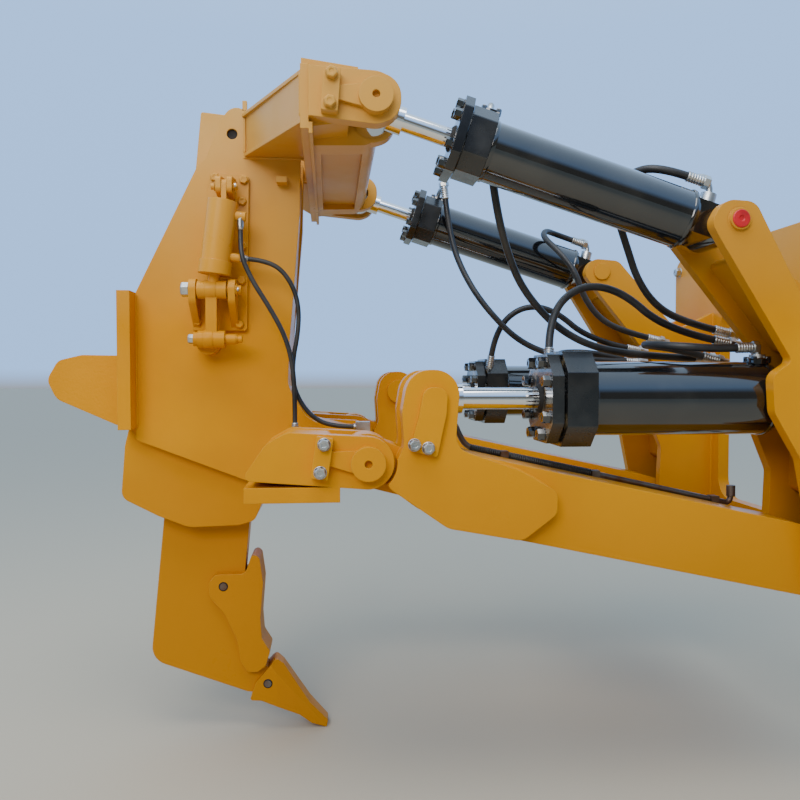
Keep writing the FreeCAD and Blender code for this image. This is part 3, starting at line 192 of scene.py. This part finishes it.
# Hoses: thickness, how far a sleeve stands proud of it, and the sleeve's length
HOSE = (32, 4.2, 60.0)
SMALL_HOSE = (20, 3.2, 36.0)
HOSE_ROUTES = {
    "tilt_hose_gland": ("tilt", 1.537, [
        (-1571, -545, 1120), (-1545, -545, 900), (-1480, -470, 690), (-1375, -384, 500),
        (-1180, -384, 310), (-920, -384, 235), (-600, -384, 225),
    ]),
    "tilt_hose_head": ("tilt", 1.213, [
        (-800, -700, 925), (-905, -695, 958), (-990, -627, 967), (-1035, -515, 910),
        (-970, -410, 810), (-905, -352, 700), (-860, -350, 570), (-775, -350, 455),
        (-650, -350, 388), (-495, -350, 350),
    ]),
    "lift_hose_gland": ("lift", 0.990, [
        (-1312, -550, 250), (-1298, -505, 400), (-1165, -470, 528), (-985, -470, 512),
        (-785, -470, 345), (-560, -470, 300),
    ]),
    "lift_hose_head": ("lift", 0.793, [
        (-600, -720, 258), (-712, -722, 255), (-822, -720, 263), (-906, -636, 271),
        (-906, -519, 278), (-822, -435, 276), (-698, -435, 259), (-590, -435, 230),
    ]),
}
PULLER_ROUTES = {
    "puller_hose_upper": (0.886, [
        (-2572, -322, 770), (-2572, -322, 712), (-2566, -354, 662), (-2553, -358, 612),
        (-2513, -358, 531), (-2451, -358, 434), (-2389, -356, 321), (-2357, -350, 205),
        (-2348, -345, 70), (-2348, -345, -60),
    ]),
    "puller_hose_lower": (1.014, [
        (-2550, -320, 640), (-2490, -320, 636), (-2410, -320, 606), (-2355, -320, 530),
        (-2330, -320, 440), (-2334, -320, 330), (-2358, -320, 210), (-2355, -320, 90),
        (-2290, -320, -20), (-2195, -320, -70), (-2090, -320, -70),
    ]),
}


def new_look(name):
    """A material, with its node tree and its shader."""
    made = bpy.data.materials.new(name)
    made.use_nodes = True
    tree = made.node_tree
    return made, tree, tree.nodes["Principled BSDF"]


def cloud(tree, scale, detail=4.0, stretch=None):
    """A soft noise in the piece's own space, between 0 and 1."""
    where = tree.nodes.new("ShaderNodeTexCoord")
    noise = tree.nodes.new("ShaderNodeTexNoise")
    noise.inputs["Scale"].default_value = scale
    noise.inputs["Detail"].default_value = detail
    source = where.outputs["Object"]
    if stretch:
        shape = tree.nodes.new("ShaderNodeMapping")
        shape.inputs["Scale"].default_value = stretch
        tree.links.new(source, shape.inputs["Vector"])
        source = shape.outputs["Vector"]
    tree.links.new(source, noise.inputs["Vector"])
    return noise.outputs["Fac"]


def ranged(tree, value, low, high, to_low, to_high):
    """A value mapped from one range to another, with its ends clamped."""
    node = tree.nodes.new("ShaderNodeMapRange")
    node.inputs["From Min"].default_value = low
    node.inputs["From Max"].default_value = high
    node.inputs["To Min"].default_value = to_low
    node.inputs["To Max"].default_value = to_high
    tree.links.new(value, node.inputs["Value"])
    return node.outputs["Result"]


def product(tree, first, second):
    """Two values multiplied."""
    node = tree.nodes.new("ShaderNodeMath")
    node.operation = "MULTIPLY"
    tree.links.new(first, node.inputs[0])
    tree.links.new(second, node.inputs[1])
    return node.outputs["Value"]


def blended(tree, factor, first, second):
    """Two colours, or the output of another blend and a colour, mixed by a factor."""
    node = tree.nodes.new("ShaderNodeMix")
    node.data_type = "RGBA"
    tree.links.new(factor, node.inputs["Factor"])
    for socket, colour in (("A", first), ("B", second)):
        if isinstance(colour, tuple):
            node.inputs[socket].default_value = (*colour, 1.0)
        else:
            tree.links.new(colour, node.inputs[socket])
    return node.outputs["Result"]


def axis_value(tree, axis, output="Object"):
    """One coordinate of a surface point, or of its normal, in the piece's own space."""
    where = tree.nodes.new("ShaderNodeTexCoord")
    parts = tree.nodes.new("ShaderNodeSeparateXYZ")
    tree.links.new(where.outputs[output], parts.inputs["Vector"])
    return parts.outputs[axis]


def edge_mask(tree, rounded):
    """Bright at sharp edges: how far the rounded normal turns from the true one."""
    true = tree.nodes.new("ShaderNodeNewGeometry")
    dot = tree.nodes.new("ShaderNodeVectorMath")
    dot.operation = "DOT_PRODUCT"
    tree.links.new(rounded, dot.inputs[0])
    tree.links.new(true.outputs["Normal"], dot.inputs[1])
    return ranged(tree, dot.outputs["Value"], 0.99, 0.80, 0.0, 1.0)


def relief(tree, shader, height, strength, distance, edge=0.0):
    """A bump over softly rounded edges. Returns the rounded normal, if there is one."""
    bump = tree.nodes.new("ShaderNodeBump")
    bump.inputs["Strength"].default_value = strength
    bump.inputs["Distance"].default_value = distance
    tree.links.new(height, bump.inputs["Height"])
    tree.links.new(bump.outputs["Normal"], shader.inputs["Normal"])
    if not edge:
        return None
    soft = tree.nodes.new("ShaderNodeBevel")
    soft.samples = 4
    soft.inputs["Radius"].default_value = edge
    tree.links.new(soft.outputs["Normal"], bump.inputs["Normal"])
    return soft.outputs["Normal"]


def roughened(tree, shader, scale, detail, rough, stretch=None):
    """Roughness between two values, by a noise."""
    value = ranged(tree, cloud(tree, scale, detail, stretch), 0.3, 0.7, *rough)
    tree.links.new(value, shader.inputs["Roughness"])


def paint(name, cast=False):
    """Amber paint, paler and dustier higher up, darkened lower down by painted shade, with a
    painted highlight along its edges; a cast one is rougher.
    """
    made, tree, shader = new_look(name)
    grain = cloud(tree, 90.0 if cast else 38.0, 3.0)
    strength, depth = (0.55, 0.0022) if cast else (0.16, 0.0012)
    rounded = relief(tree, shader, grain, strength, depth, 0.0045)
    broad = ranged(tree, cloud(tree, 1.7), 0.35, 0.68, 0.0, 1.0)
    colour = blended(tree, broad, AMBER, AMBER_DEEP)
    # Painted shade: the paint darkens towards the bottom
    low_shade = ranged(tree, axis_value(tree, "Z"), -0.15, -0.75, 0.0, 0.8)
    colour = blended(tree, low_shade, colour, AMBER_SHADED)
    high = ranged(tree, axis_value(tree, "Z"), 0.35, 1.25, 0.0, 0.85)
    patches = ranged(tree, cloud(tree, 2.6, 6.0), 0.30, 0.70, 0.55, 1.0)
    colour = blended(tree, product(tree, high, patches), colour, AMBER_TAN)
    # Painted highlight: lighter paint along the sharp edges, in patches
    edge_highlight_patches = ranged(tree, cloud(tree, 14.0), 0.40, 0.62, 0.15, 0.75)
    colour = blended(tree, product(tree, edge_mask(tree, rounded), edge_highlight_patches), colour, AMBER_EDGE_HIGHLIGHT)
    tree.links.new(colour, shader.inputs["Base Color"])
    roughened(tree, shader, 5.0, 5.0, (0.40, 0.60) if cast else (0.27, 0.46))
    shader.inputs["Specular IOR Level"].default_value = 0.14
    shader.inputs["Coat Weight"].default_value = 0.02 if cast else 0.05
    shader.inputs["Coat Roughness"].default_value = 0.2
    return made


def black(name, dusty=False):
    """Gloss black enamel with a film of dust; a dusty one has paint spray on its rear faces."""
    made, tree, shader = new_look(name)
    relief(tree, shader, cloud(tree, 24.0, 2.0), 0.05, 0.001, 0.004 if dusty else 0.0)
    spread = (0.42, 0.62) if dusty else (0.52, 0.80)
    film = ranged(tree, cloud(tree, 6.0, 6.0), *spread, 0.0, 1.0)
    colour = blended(tree, film, GLOSS_BLACK, GLOSS_BLACK_DUSTY)
    if dusty:
        rear = ranged(tree, axis_value(tree, "X", "Normal"), -0.75, -0.95, 0.0, 0.75)
        spots = ranged(tree, cloud(tree, 11.0, 6.0), 0.50, 0.60, 0.0, 1.0)
        colour = blended(tree, product(tree, rear, spots), colour, OVERSPRAY)
    tree.links.new(colour, shader.inputs["Base Color"])
    roughened(tree, shader, 9.0, 5.0, (0.16, 0.38) if dusty else (0.07, 0.20))
    shader.inputs["Coat Weight"].default_value = 0.5 if dusty else 0.95
    shader.inputs["Coat IOR"].default_value = 1.5 if dusty else 1.65
    shader.inputs["Coat Roughness"].default_value = 0.05
    return made


def metal(name, bright, dull, rough, scale, bump, edge=0.0, stretch=None):
    """A bare or plated metal, bright and dull in patches."""
    made, tree, shader = new_look(name)
    relief(tree, shader, cloud(tree, scale * 5, 3.0, stretch), bump, 0.0008, edge)
    mask = ranged(tree, cloud(tree, scale, 5.0, stretch), 0.42, 0.66, 0.0, 1.0)
    tree.links.new(blended(tree, mask, bright, dull), shader.inputs["Base Color"])
    roughened(tree, shader, scale * 2, 4.0, rough, stretch)
    shader.inputs["Metallic"].default_value = 1.0
    return made


def rubber(name, near, far, scale, rough):
    """Matt rubber or plastic with dust in its pores."""
    made, tree, shader = new_look(name)
    relief(tree, shader, cloud(tree, 260.0, 2.0), 0.35, 0.0008)
    mask = ranged(tree, cloud(tree, scale, 6.0), 0.40, 0.72, 0.0, 1.0)
    tree.links.new(blended(tree, mask, near, far), shader.inputs["Base Color"])
    roughened(tree, shader, scale * 2, 4.0, rough)
    return made


PAINT = paint("amber_paint")
CAST = paint("amber_cast", cast=True)
BLACK = black("gloss_black")
BLOCK_BLACK = black("block_black", dusty=True)
CHROMED = metal("chrome", CHROME, CHROME, (0.05, 0.13), 3.0, 0.02, stretch=(0.4, 6.0, 6.0))
ZINCED = metal("zinc", ZINC, ZINC_DULL, (0.26, 0.46), 14.0, 0.15, 0.0015)
BARE = metal("bare_steel", STEEL, RUST, (0.38, 0.62), 9.0, 0.25, 0.002)
HOSE_LOOK = rubber("hose_rubber", RUBBER, RUBBER_DUSTY, 7.0, (0.36, 0.58))
RED_LOOK = rubber("red_plastic", RED, RED_DEEP, 30.0, (0.35, 0.50))
# Dark rubber for the wipers, and painted shade for the lug holes and the pins' recesses
DARK_RUBBER_AND_SHADE = rubber("dark_rubber_and_shade", RUBBER_AND_SHADE_DARK, RUBBER, 20.0, (0.7, 0.9))
SLOT_LOOKS = {
    "yellow": PAINT, "black": BLACK, "chrome": CHROMED, "zinc": ZINCED, "steel": BARE,
    "hose": HOSE_LOOK,
}
NODE_LOOKS = {
    "push_block": CAST, "shank_guard": CAST, "shank_tip": CAST,
    "lift_gland_right": BLOCK_BLACK, "lift_gland_left": BLOCK_BLACK,
    "tilt_gland_right": BLOCK_BLACK, "tilt_gland_left": BLOCK_BLACK,
}


def dress(obj, look):
    """Give a piece one material in place of what it has."""
    obj.data.materials.clear()
    obj.data.materials.append(look)


for part in frame["record"]["subparts"]:
    node = part["node"]
    dress(NODES[node], NODE_LOOKS.get(node, SLOT_LOOKS[part["material_slot"]]))


def floor():
    """A plain pale floor under the ripper."""
    data = bpy.data.meshes.new("floor")
    corners = []
    for x, y in ((-1, -1), (1, -1), (1, 1), (-1, 1)):
        corners.append((x * FLOOR_HALF, y * FLOOR_HALF, GROUND))
    data.from_pydata(corners, [], [(0, 1, 2, 3)])
    made = bpy.data.objects.new("floor", data)
    bpy.context.scene.collection.objects.link(made)
    look, tree, shader = new_look("floor_pale")
    shader.inputs["Base Color"].default_value = (*FLOOR, 1.0)
    shader.inputs["Roughness"].default_value = 0.85
    dress(made, look)


def lamp(name, place, target, size, power, colour):
    """A large soft light that faces its target."""
    data = bpy.data.lights.new(name, "AREA")
    data.shape = "RECTANGLE"
    data.size = size[0]
    data.size_y = size[1]
    data.energy = power
    data.color = colour
    made = bpy.data.objects.new(name, data)
    made.location = place
    aim = Vector(target) - Vector(place)
    made.rotation_mode = "QUATERNION"
    made.rotation_quaternion = aim.to_track_quat("-Z", "Y")
    bpy.context.scene.collection.objects.link(made)


def surround():
    """A sky over a darker ground, dark behind the camera, which the polished pieces mirror."""
    world = bpy.context.scene.world or bpy.data.worlds.new("surround")
    bpy.context.scene.world = world
    world.use_nodes = True
    tree = world.node_tree
    back = tree.nodes["Background"]
    where = tree.nodes.new("ShaderNodeTexCoord")
    parts = tree.nodes.new("ShaderNodeSeparateXYZ")
    ramp = tree.nodes.new("ShaderNodeValToRGB")
    tree.links.new(where.outputs["Generated"], parts.inputs["Vector"])
    tree.links.new(ranged(tree, parts.outputs["Z"], -1.0, 1.0, 0.0, 1.0), ramp.inputs["Fac"])
    near = ranged(tree, parts.outputs["Y"], -0.05, -0.45, 0.0, 1.0)
    low = ranged(tree, parts.outputs["Z"], 0.50, 0.28, 0.0, 1.0)
    shaded = blended(tree, product(tree, near, low), ramp.outputs["Color"], YARD)
    tree.links.new(shaded, back.inputs["Color"])
    stops = ramp.color_ramp.elements
    stops[0].position, stops[0].color = BELOW
    stops[1].position, stops[1].color = ABOVE
    for position, colour in BETWEEN:
        stop = stops.new(position)
        stop.color = colour
    back.inputs["Strength"].default_value = SURROUND_STRENGTH


def lights():
    """The surround and the soft lights."""
    surround()
    for name, values in LAMPS.items():
        lamp(name, *values)


def camera():
    """The camera, at the photograph's place and angle."""
    data = bpy.data.cameras.new("camera")
    data.sensor_width = SENSOR
    data.lens = CAMERA_LENS
    data.clip_start = 0.05
    data.clip_end = 200.0
    made = bpy.data.objects.new("camera", data)
    turn, dip = CAMERA_TURN, CAMERA_DIP
    level = math.cos(dip)
    ahead = Vector((math.sin(turn) * level, math.cos(turn) * level, -math.sin(dip)))
    right = Vector((math.cos(turn), -math.sin(turn), 0.0))
    up = right.cross(ahead)
    made.matrix_world = Matrix((
        (right.x, up.x, -ahead.x, CAMERA_PLACE[0]),
        (right.y, up.y, -ahead.y, CAMERA_PLACE[1]),
        (right.z, up.z, -ahead.z, CAMERA_PLACE[2]),
        (0.0, 0.0, 0.0, 1.0),
    ))
    bpy.context.scene.collection.objects.link(made)
    bpy.context.scene.camera = made


class Sketch:
    """Vertices and faces gathered for one piece, drawn in millimetres."""

    def __init__(self):
        self.points = []
        self.faces = []

    def add(self, points, faces):
        base = len(self.points)
        self.points += [point * MM for point in points]
        self.faces += [tuple(base + index for index in face) for face in faces]

    def piece(self, name, look, body, sharp=35):
        data = bpy.data.meshes.new(name)
        data.from_pydata([tuple(point) for point in self.points], [], self.faces)
        work = bmesh.new()
        work.from_mesh(data)
        bmesh.ops.recalc_face_normals(work, faces=work.faces)
        work.to_mesh(data)
        work.free()
        data.shade_smooth()
        data.set_sharp_from_angle(angle=math.radians(sharp))
        data.materials.append(look)
        made = bpy.data.objects.new(name, data)
        bpy.context.scene.collection.objects.link(made)
        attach(made, body)
        return made


def spot(x, y, z, side=1):
    """A point in millimetres; side -1 is its mirror image on the left."""
    return Vector((x, y * side, z))


def turned(sketch, start, axis, profile, steps=32, closed=False):
    """A turned form about an axis: its profile is a list of (along, radius)."""
    axis = axis.normalized()
    side = axis.orthogonal().normalized()
    other = axis.cross(side)
    points, rings, faces = [], [], []
    for along, radius in profile:
        middle = start + axis * along
        if radius == 0:
            rings.append([len(points)] * steps)
            points.append(middle)
            continue
        rings.append(list(range(len(points), len(points) + steps)))
        for index in range(steps):
            angle = 2 * math.pi * index / steps
            out = side * (radius * math.cos(angle))
            points.append(middle + out + other * (radius * math.sin(angle)))
    if closed:
        rings.append(rings[0])
    for near, far in zip(rings, rings[1:]):
        for index in range(steps):
            after = (index + 1) % steps
            corners = [near[index], near[after], far[after], far[index]]
            face = [corner for place, corner in enumerate(corners) if corner not in corners[:place]]
            if len(face) > 2:
                faces.append(tuple(face))
    sketch.add(points, faces)


def hexagon(sketch, start, axis, flats, height):
    """A hexagon head or nut with a chamfered top."""
    corner = flats / math.sqrt(3)
    turned(sketch, start, axis, [
        (0, 0), (0, corner), (height * 0.84, corner), (height, corner * 0.86),
        (height, corner * 0.45), (height * 0.93, corner * 0.38), (height * 0.93, 0),
    ], 6)


def bolt(sketch, start, axis, flats, height=None):
    """A washer and a hexagon head standing on a face."""
    disc = flats * 0.62
    turned(sketch, start, axis, [(-1, 0), (-1, disc), (3, disc), (4, disc - 1), (4, 0)], 28)
    hexagon(sketch, start + axis.normalized() * 3.5, axis, flats, height or flats * 0.62)


def slab(sketch, centre, axis, across, outline, thickness):
    """A flat plate: an outline in its own plane, drawn up along an axis, with a broken top edge."""
    axis = axis.normalized()
    first = (across - axis * across.dot(axis)).normalized()
    second = axis.cross(first)
    count = len(outline)
    points = []
    for level, shrink in ((0, 1.0), (thickness - 2, 1.0), (thickness, 0.965)):
        for a, b in outline:
            points.append(centre + axis * level + first * (a * shrink) + second * (b * shrink))
    faces = [tuple(range(count - 1, -1, -1)), tuple(range(2 * count, 3 * count))]
    for level in (0, count):
        for index in range(count):
            near, far = level + index, level + (index + 1) % count
            faces.append((near, far, far + count, near + count))
    sketch.add(points, faces)


def rounded_box(width, height, radius):
    """The outline of a rectangle with round corners."""
    steps = 5
    outline = []
    for sign_a, sign_b, turn in ((1, 1, 0), (-1, 1, 90), (-1, -1, 180), (1, -1, 270)):
        for step in range(steps + 1):
            angle = math.radians(turn + 90 * step / steps)
            outline.append((sign_a * (width / 2 - radius) + radius * math.cos(angle),
                            sign_b * (height / 2 - radius) + radius * math.sin(angle)))
    return outline


def eased(points):
    """A weld's path with its corners cut round."""
    for _ in range(3):
        cut = [points[0]]
        for before, after in zip(points, points[1:]):
            cut += [before.lerp(after, 0.2), before.lerp(after, 0.8)]
        cut.append(points[-1])
        points = cut
    return points


def bead(sketch, points, radius, chance):
    """A weld bead: a rippled tube, half sunk in the seam that it follows."""
    lengths = [0.0]
    for before, after in zip(points, points[1:]):
        lengths.append(lengths[-1] + (after - before).length)
    count = max(4, round(lengths[-1] / WELD_STEP))
    places, run = [], 0
    for index in range(count + 1):
        along = lengths[-1] * index / count
        while run < len(points) - 2 and lengths[run + 1] < along:
            run += 1
        share = (along - lengths[run]) / max(lengths[run + 1] - lengths[run], 1e-6)
        places.append(points[run].lerp(points[run + 1], min(share, 1.0)))
    ring_points, faces, around = [], [], 8
    for index, place in enumerate(places):
        ahead = places[min(index + 1, count)] - places[max(index - 1, 0)]
        ahead.normalize()
        side = ahead.cross(Vector((0.31, 0.87, 0.38))).normalized()
        other = ahead.cross(side)
        swell = radius * (1.0 if index % 2 else 0.84) * chance.uniform(0.93, 1.07)
        if index in (0, count):
            swell *= 0.45
        for turn in range(around):
            angle = 2 * math.pi * turn / around
            out = side * (swell * math.cos(angle))
            ring_points.append(place + out + other * (swell * math.sin(angle)))
    for index in range(count):
        for turn in range(around):
            after = (turn + 1) % around
            faces.append((index * around + turn, index * around + after,
                          (index + 1) * around + after, (index + 1) * around + turn))
    faces.append(tuple(range(around - 1, -1, -1)))
    faces.append(tuple(range(count * around, (count + 1) * around)))
    sketch.add(ring_points, faces)


def crimp(sketch, face, heading, sleeve, length):
    """A hose's crimped sleeve with its hexagon nut, from the hose's end face outwards."""
    heading = heading.normalized()
    profile = [(-10, 0), (-10, sleeve - 1.5), (-8, sleeve)]
    count = 5
    for index in range(count):
        near = -4 + (length - 8) * index / count
        far = near + (length - 8) / count
        profile += [
            (near, sleeve + 0.6), (near + 4, sleeve - 1.6),
            (far - 4, sleeve - 1.6), (far, sleeve + 0.6),
        ]
    profile += [(length, sleeve - 1), (length, 0)]
    turned(sketch, face, heading, profile, 36)
    hexagon(sketch, face + heading * (length - 2), heading, sleeve * 2.3, 24)


def hose_ends(name, body, size, points, side=1):
    """The crimped ends that a hose is screwed in by."""
    thick, proud, sleeve = size
    made = Sketch()
    for face, inside in ((points[0], points[1]), (points[-1], points[-2])):
        here = spot(*face, side)
        crimp(made, here, here - spot(*inside, side), thick / 2 + proud, sleeve)
    return made.piece(name, ZINCED, body)


def hose_line(name, points, thick, side, body, node):
    """A hose on one smooth line, in the place of its solid."""
    data = bpy.data.curves.new(name, "CURVE")
    data.dimensions = "3D"
    data.bevel_depth = thick * MM / 2
    data.bevel_resolution = 5
    data.resolution_u = 16
    data.use_fill_caps = True
    line = data.splines.new("NURBS")
    line.points.add(len(points) - 1)
    for control, point in zip(line.points, points):
        control.co = (*(spot(*point, side) * MM), 1.0)
    line.order_u = 3
    line.use_endpoint_u = True
    made = bpy.data.objects.new(name, data)
    bpy.context.scene.collection.objects.link(made)
    made.data.materials.append(HOSE_LOOK)
    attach(made, body)
    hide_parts(node)


def hoses():
    """Every hose, with its ends."""
    for word, side in SIDES.items():
        for name, (kind, length, points) in HOSE_ROUTES.items():
            body = kind + "_barrel_" + word
            ends = hose_ends(name + "_ends_" + word, body, HOSE, points, side)
            node = name + "_" + word
            hose_line(name + "_line_" + word, points, HOSE[0], side, body, node)
    for name, (length, points) in PULLER_ROUTES.items():
        ends = hose_ends(name + "_ends", "carriage", SMALL_HOSE, points)
        hose_line(name + "_line", points, SMALL_HOSE[0], 1, "carriage", name)


def cylinder_axis(kind, side):
    """The head pin's centre and the direction to the rod's pin."""
    head, rod = CYLINDERS[kind]["head"], CYLINDERS[kind]["rod_pin"]
    start = spot(head[0], CYLINDER_Y, head[1], side)
    return start, (spot(rod[0], CYLINDER_Y, rod[1], side) - start).normalized()


def gland_trim():
    """Cap bolts in pairs at the corners, a rod wiper and the weld rings of each barrel."""
    for word, side in SIDES.items():
        for kind, size in CYLINDERS.items():
            start, axis = cylinder_axis(kind, side)
            level = Vector((0, 1, 0))
            rise = axis.cross(level)
            face = start + axis * size["front"]
            bolts = Sketch()
            flats = size["flats"]
            for quarter in range(4):
                for spread in (-CAP_BOLT_SPREAD, CAP_BOLT_SPREAD):
                    angle = math.radians(45 + 90 * quarter + spread)
                    out = level * math.cos(angle) + rise * math.sin(angle)
                    bolt(bolts, face + out * (size["cap"] * 0.90), axis, flats, flats * 0.7)
            body = kind + "_barrel_" + word
            bolts.piece(kind + "_cap_bolts_" + word, BLACK, body)
            rod = size["rod"]
            wiper = Sketch()
            turned(wiper, face, axis, [
                (-2, rod + 0.8), (7, rod + 0.8), (13, rod + 1.6), (13, rod + 5),
                (6, rod + 13), (0, rod + 15), (-2, rod + 15),
            ], 48, closed=True)
            wiper.piece(kind + "_wiper_" + word, DARK_RUBBER_AND_SHADE, body)
            rings = Sketch()
            barrel = size["barrel"]
            for along, wide in ((size["start"] + size["dome"], 9), (size["end"] - 7, 11)):
                turned(rings, start + axis * along, axis, [
                    (-wide, barrel - 3), (-wide, barrel + 1), (-wide / 2, barrel + 4),
                    (wide / 2, barrel + 4), (wide, barrel + 1), (wide, barrel - 3),
                ], 64, closed=True)
            rings.piece(kind + "_weld_rings_" + word, BLACK, body)


def flange(sketch, foot, heading, across):
    """A hose port: a bolted split flange round the elbow's foot."""
    heading = heading.normalized()
    radius, reach = PORT_FLANGE_RADIUS, PORT_FLANGE_REACH
    turned(sketch, foot, heading, [
        (-2, radius), (-2, reach), (18, reach), (22, reach - 5), (24, radius + 4), (24, radius),
    ], 40, closed=True)
    first = (across - heading * across.dot(heading)).normalized()
    second = heading.cross(first)
    for index in range(4):
        angle = math.radians(45 + 90 * index)
        out = first * math.cos(angle) + second * math.sin(angle)
        hexagon(sketch, foot + out * (reach - 2) + heading * 2, heading, 20, 26)


def ports():
    """Split flanges where the hoses enter the cylinders."""
    level = Vector((0, 1, 0))
    for word, side in SIDES.items():
        for kind, (foot, top) in PORTS.items():
            made = Sketch()
            low, high = spot(*foot, side), spot(*top, side)
            flange(made, low, high - low, level)
            made.piece(kind + "_port_flanges_" + word, BLACK, kind + "_barrel_" + word)


def head_pin_caps():
    """The round red caps at the centre of the tilt cylinders' head pins."""
    for word, side in SIDES.items():
        made = Sketch()
        start = spot(TILT_HEAD_PIN[0], TILT_PIN_FACE, TILT_HEAD_PIN[1], side)
        turned(made, start, Vector((0, -side, 0)), [
            (-2, 0), (-2, 33), (3, 33), (6, 30), (6, 12), (2, 8), (2, 0),
        ], 48)
        made.piece("tilt_pin_cap_" + word, RED_LOOK, "tilt_pin_" + word)


def pin_bolts():
    """Bolts of the flags and keepers that hold the pins."""
    for word, side in SIDES.items():
        out = Vector((0, -side, 0))
        for name, body, face, places, plated in KEEPER_BOLTS:
            made = Sketch()
            for x, z in places:
                bolt(made, spot(x, face, z, side), out, KEEPER_BOLT_FLATS)
            look, slot = (ZINCED, "zinc") if plated else (PAINT, "yellow")
            made.piece(name + "_" + word, look, body)


def beside(centre, offset, y=PULLER_Y):
    """A point on one of the puller's cross bolts, offset along it."""
    return spot(centre[0] + offset, y, centre[1])


def puller_trim():
    """The pad's bolts, the heads of the cross bolts, and the collars and split pins on them."""
    pad = Sketch()
    for x, z in PAD_BOLTS:
        bolt(pad, spot(x, PAD_FACE, z), Vector((0, -1, 0)), PAD_BOLT_FLATS, PAD_BOLT_HEIGHT)
    ahead = Vector((1, 0, 0))
    for centre, offset, radius, wide in PULLER_DISCS:
        profile = [(0, 0), (0, radius), (wide, radius), (wide, 0)]
        turned(pad, beside(centre, offset), ahead, profile, 28)
    for centre, offset, radius, wide in PULLER_COLLARS:
        turned(pad, beside(centre, offset), ahead, [
            (0, radius - 4), (0, radius - 1), (3, radius),
            (wide - 3, radius), (wide, radius - 1), (wide, radius - 4),
        ], 48, closed=True)
    pad.piece("puller_trim", PAINT, "carriage")
    heads = Sketch()
    for centre, offset, flats, height in PULLER_HEADS:
        hexagon(heads, beside(centre, offset), -ahead, flats, height)
    heads.piece("puller_bolt_heads", ZINCED, "carriage")
    pins = Sketch()
    for centre, offset in PULLER_SPLIT_PINS:
        shaft, ring = beside(centre, offset, PULLER_Y - 26), beside(centre, offset, PULLER_Y - 30)
        turned(pins, shaft, Vector((0, 1, 0)), [(0, 0), (0, 3), (52, 3), (52, 0)], 12)
        turned(pins, ring, ahead, [(-3, 5), (-3, 9), (3, 9), (3, 5)], 20, closed=True)
    pins.piece("puller_split_pins", ZINCED, "carriage")


def plate_trim():
    """A stub on the right side plate, a step under the wing, and a painted shade disc in the lug's
    hole.
    """
    made = Sketch()
    outward, ahead = Vector((0, -1, 0)), Vector((1, 0, 0))
    slab(made, spot(-2565, -180, 1318), outward, ahead, rounded_box(20, 44, 2), 20)
    slab(made, spot(-2404, -199, 991), outward, ahead, rounded_box(46, 26, 4), 62)
    made.piece("plate_trim", PAINT, "carriage")
    # Painted shade: a dark disc set inside each lug hole
    shade = Sketch()
    for side in (1, -1):
        place = spot(LUG_HOLE[0], LUG_HOLE_FACE, LUG_HOLE[1], side)
        profile = [(0, 0), (0, 22.6), (4, 22.6), (4, 0)]
        turned(shade, place, spot(0, -1, 0, side), profile, 36)
    shade.piece("lug_hole_shade", DARK_RUBBER_AND_SHADE, "carriage")


def pipe_sleeve():
    """A ribbed black sleeve over the rear half of the arm's pipe."""
    made = Sketch()
    start, end = (spot(*point) for point in PIPE_SLEEVE)
    long = (end - start).length
    profile = [(0, 0), (0, 14)]
    count = int(long / PIPE_RIB)
    for index in range(1, count):
        profile.append((long * index / count, 17 if index % 2 else 14.6))
    profile += [(long, 14), (long, 0)]
    turned(made, start, end - start, profile, 20)
    made.piece("pipe_sleeve", HOSE_LOOK, "draft_frame")


def mount_bolts():
    """The bolts of the tractor plate, with their washers."""
    made = Sketch()
    for y in (-MOUNT_BOLT_COLUMN, MOUNT_BOLT_COLUMN):
        for z in MOUNT_BOLT_ROWS:
            bolt(made, spot(MOUNT_FACE, y, z), Vector((-1, 0, 0)), MOUNT_BOLT_FLATS)
    made.piece("mount_bolts", ZINCED, "mount")


def welds():
    """Weld beads along the seams, gathered for each body."""
    chance = random.Random(WELD_SEED)
    for name, (body, radius, seams) in WELDS.items():
        made = Sketch()
        for points in seams:
            for side in (1, -1):
                bead(made, eased([spot(*point, side) for point in points]), radius, chance)
        made.piece(name, PAINT, body, 50)


def retainer_shade_rings():
    """Painted shade: a dark ring standing in for the recess round each retaining pin's head."""
    profile = [(-2, 16), (-2, 22), (1.2, 21), (1.2, 16)]
    for x, z, face in RETAINERS:
        made = Sketch()
        for side in (1, -1):
            place, outward = Vector((x, -face * side, z)), Vector((0, -side, 0))
            turned(made, place, outward, profile, 40, closed=True)
        made.piece("retainer_shade_ring_" + str(abs(x)), DARK_RUBBER_AND_SHADE, "carriage")


floor()
lights()
camera()
hoses()
gland_trim()
ports()
head_pin_caps()
pin_bolts()
puller_trim()
plate_trim()
pipe_sleeve()
mount_bolts()
retainer_shade_rings()
welds()
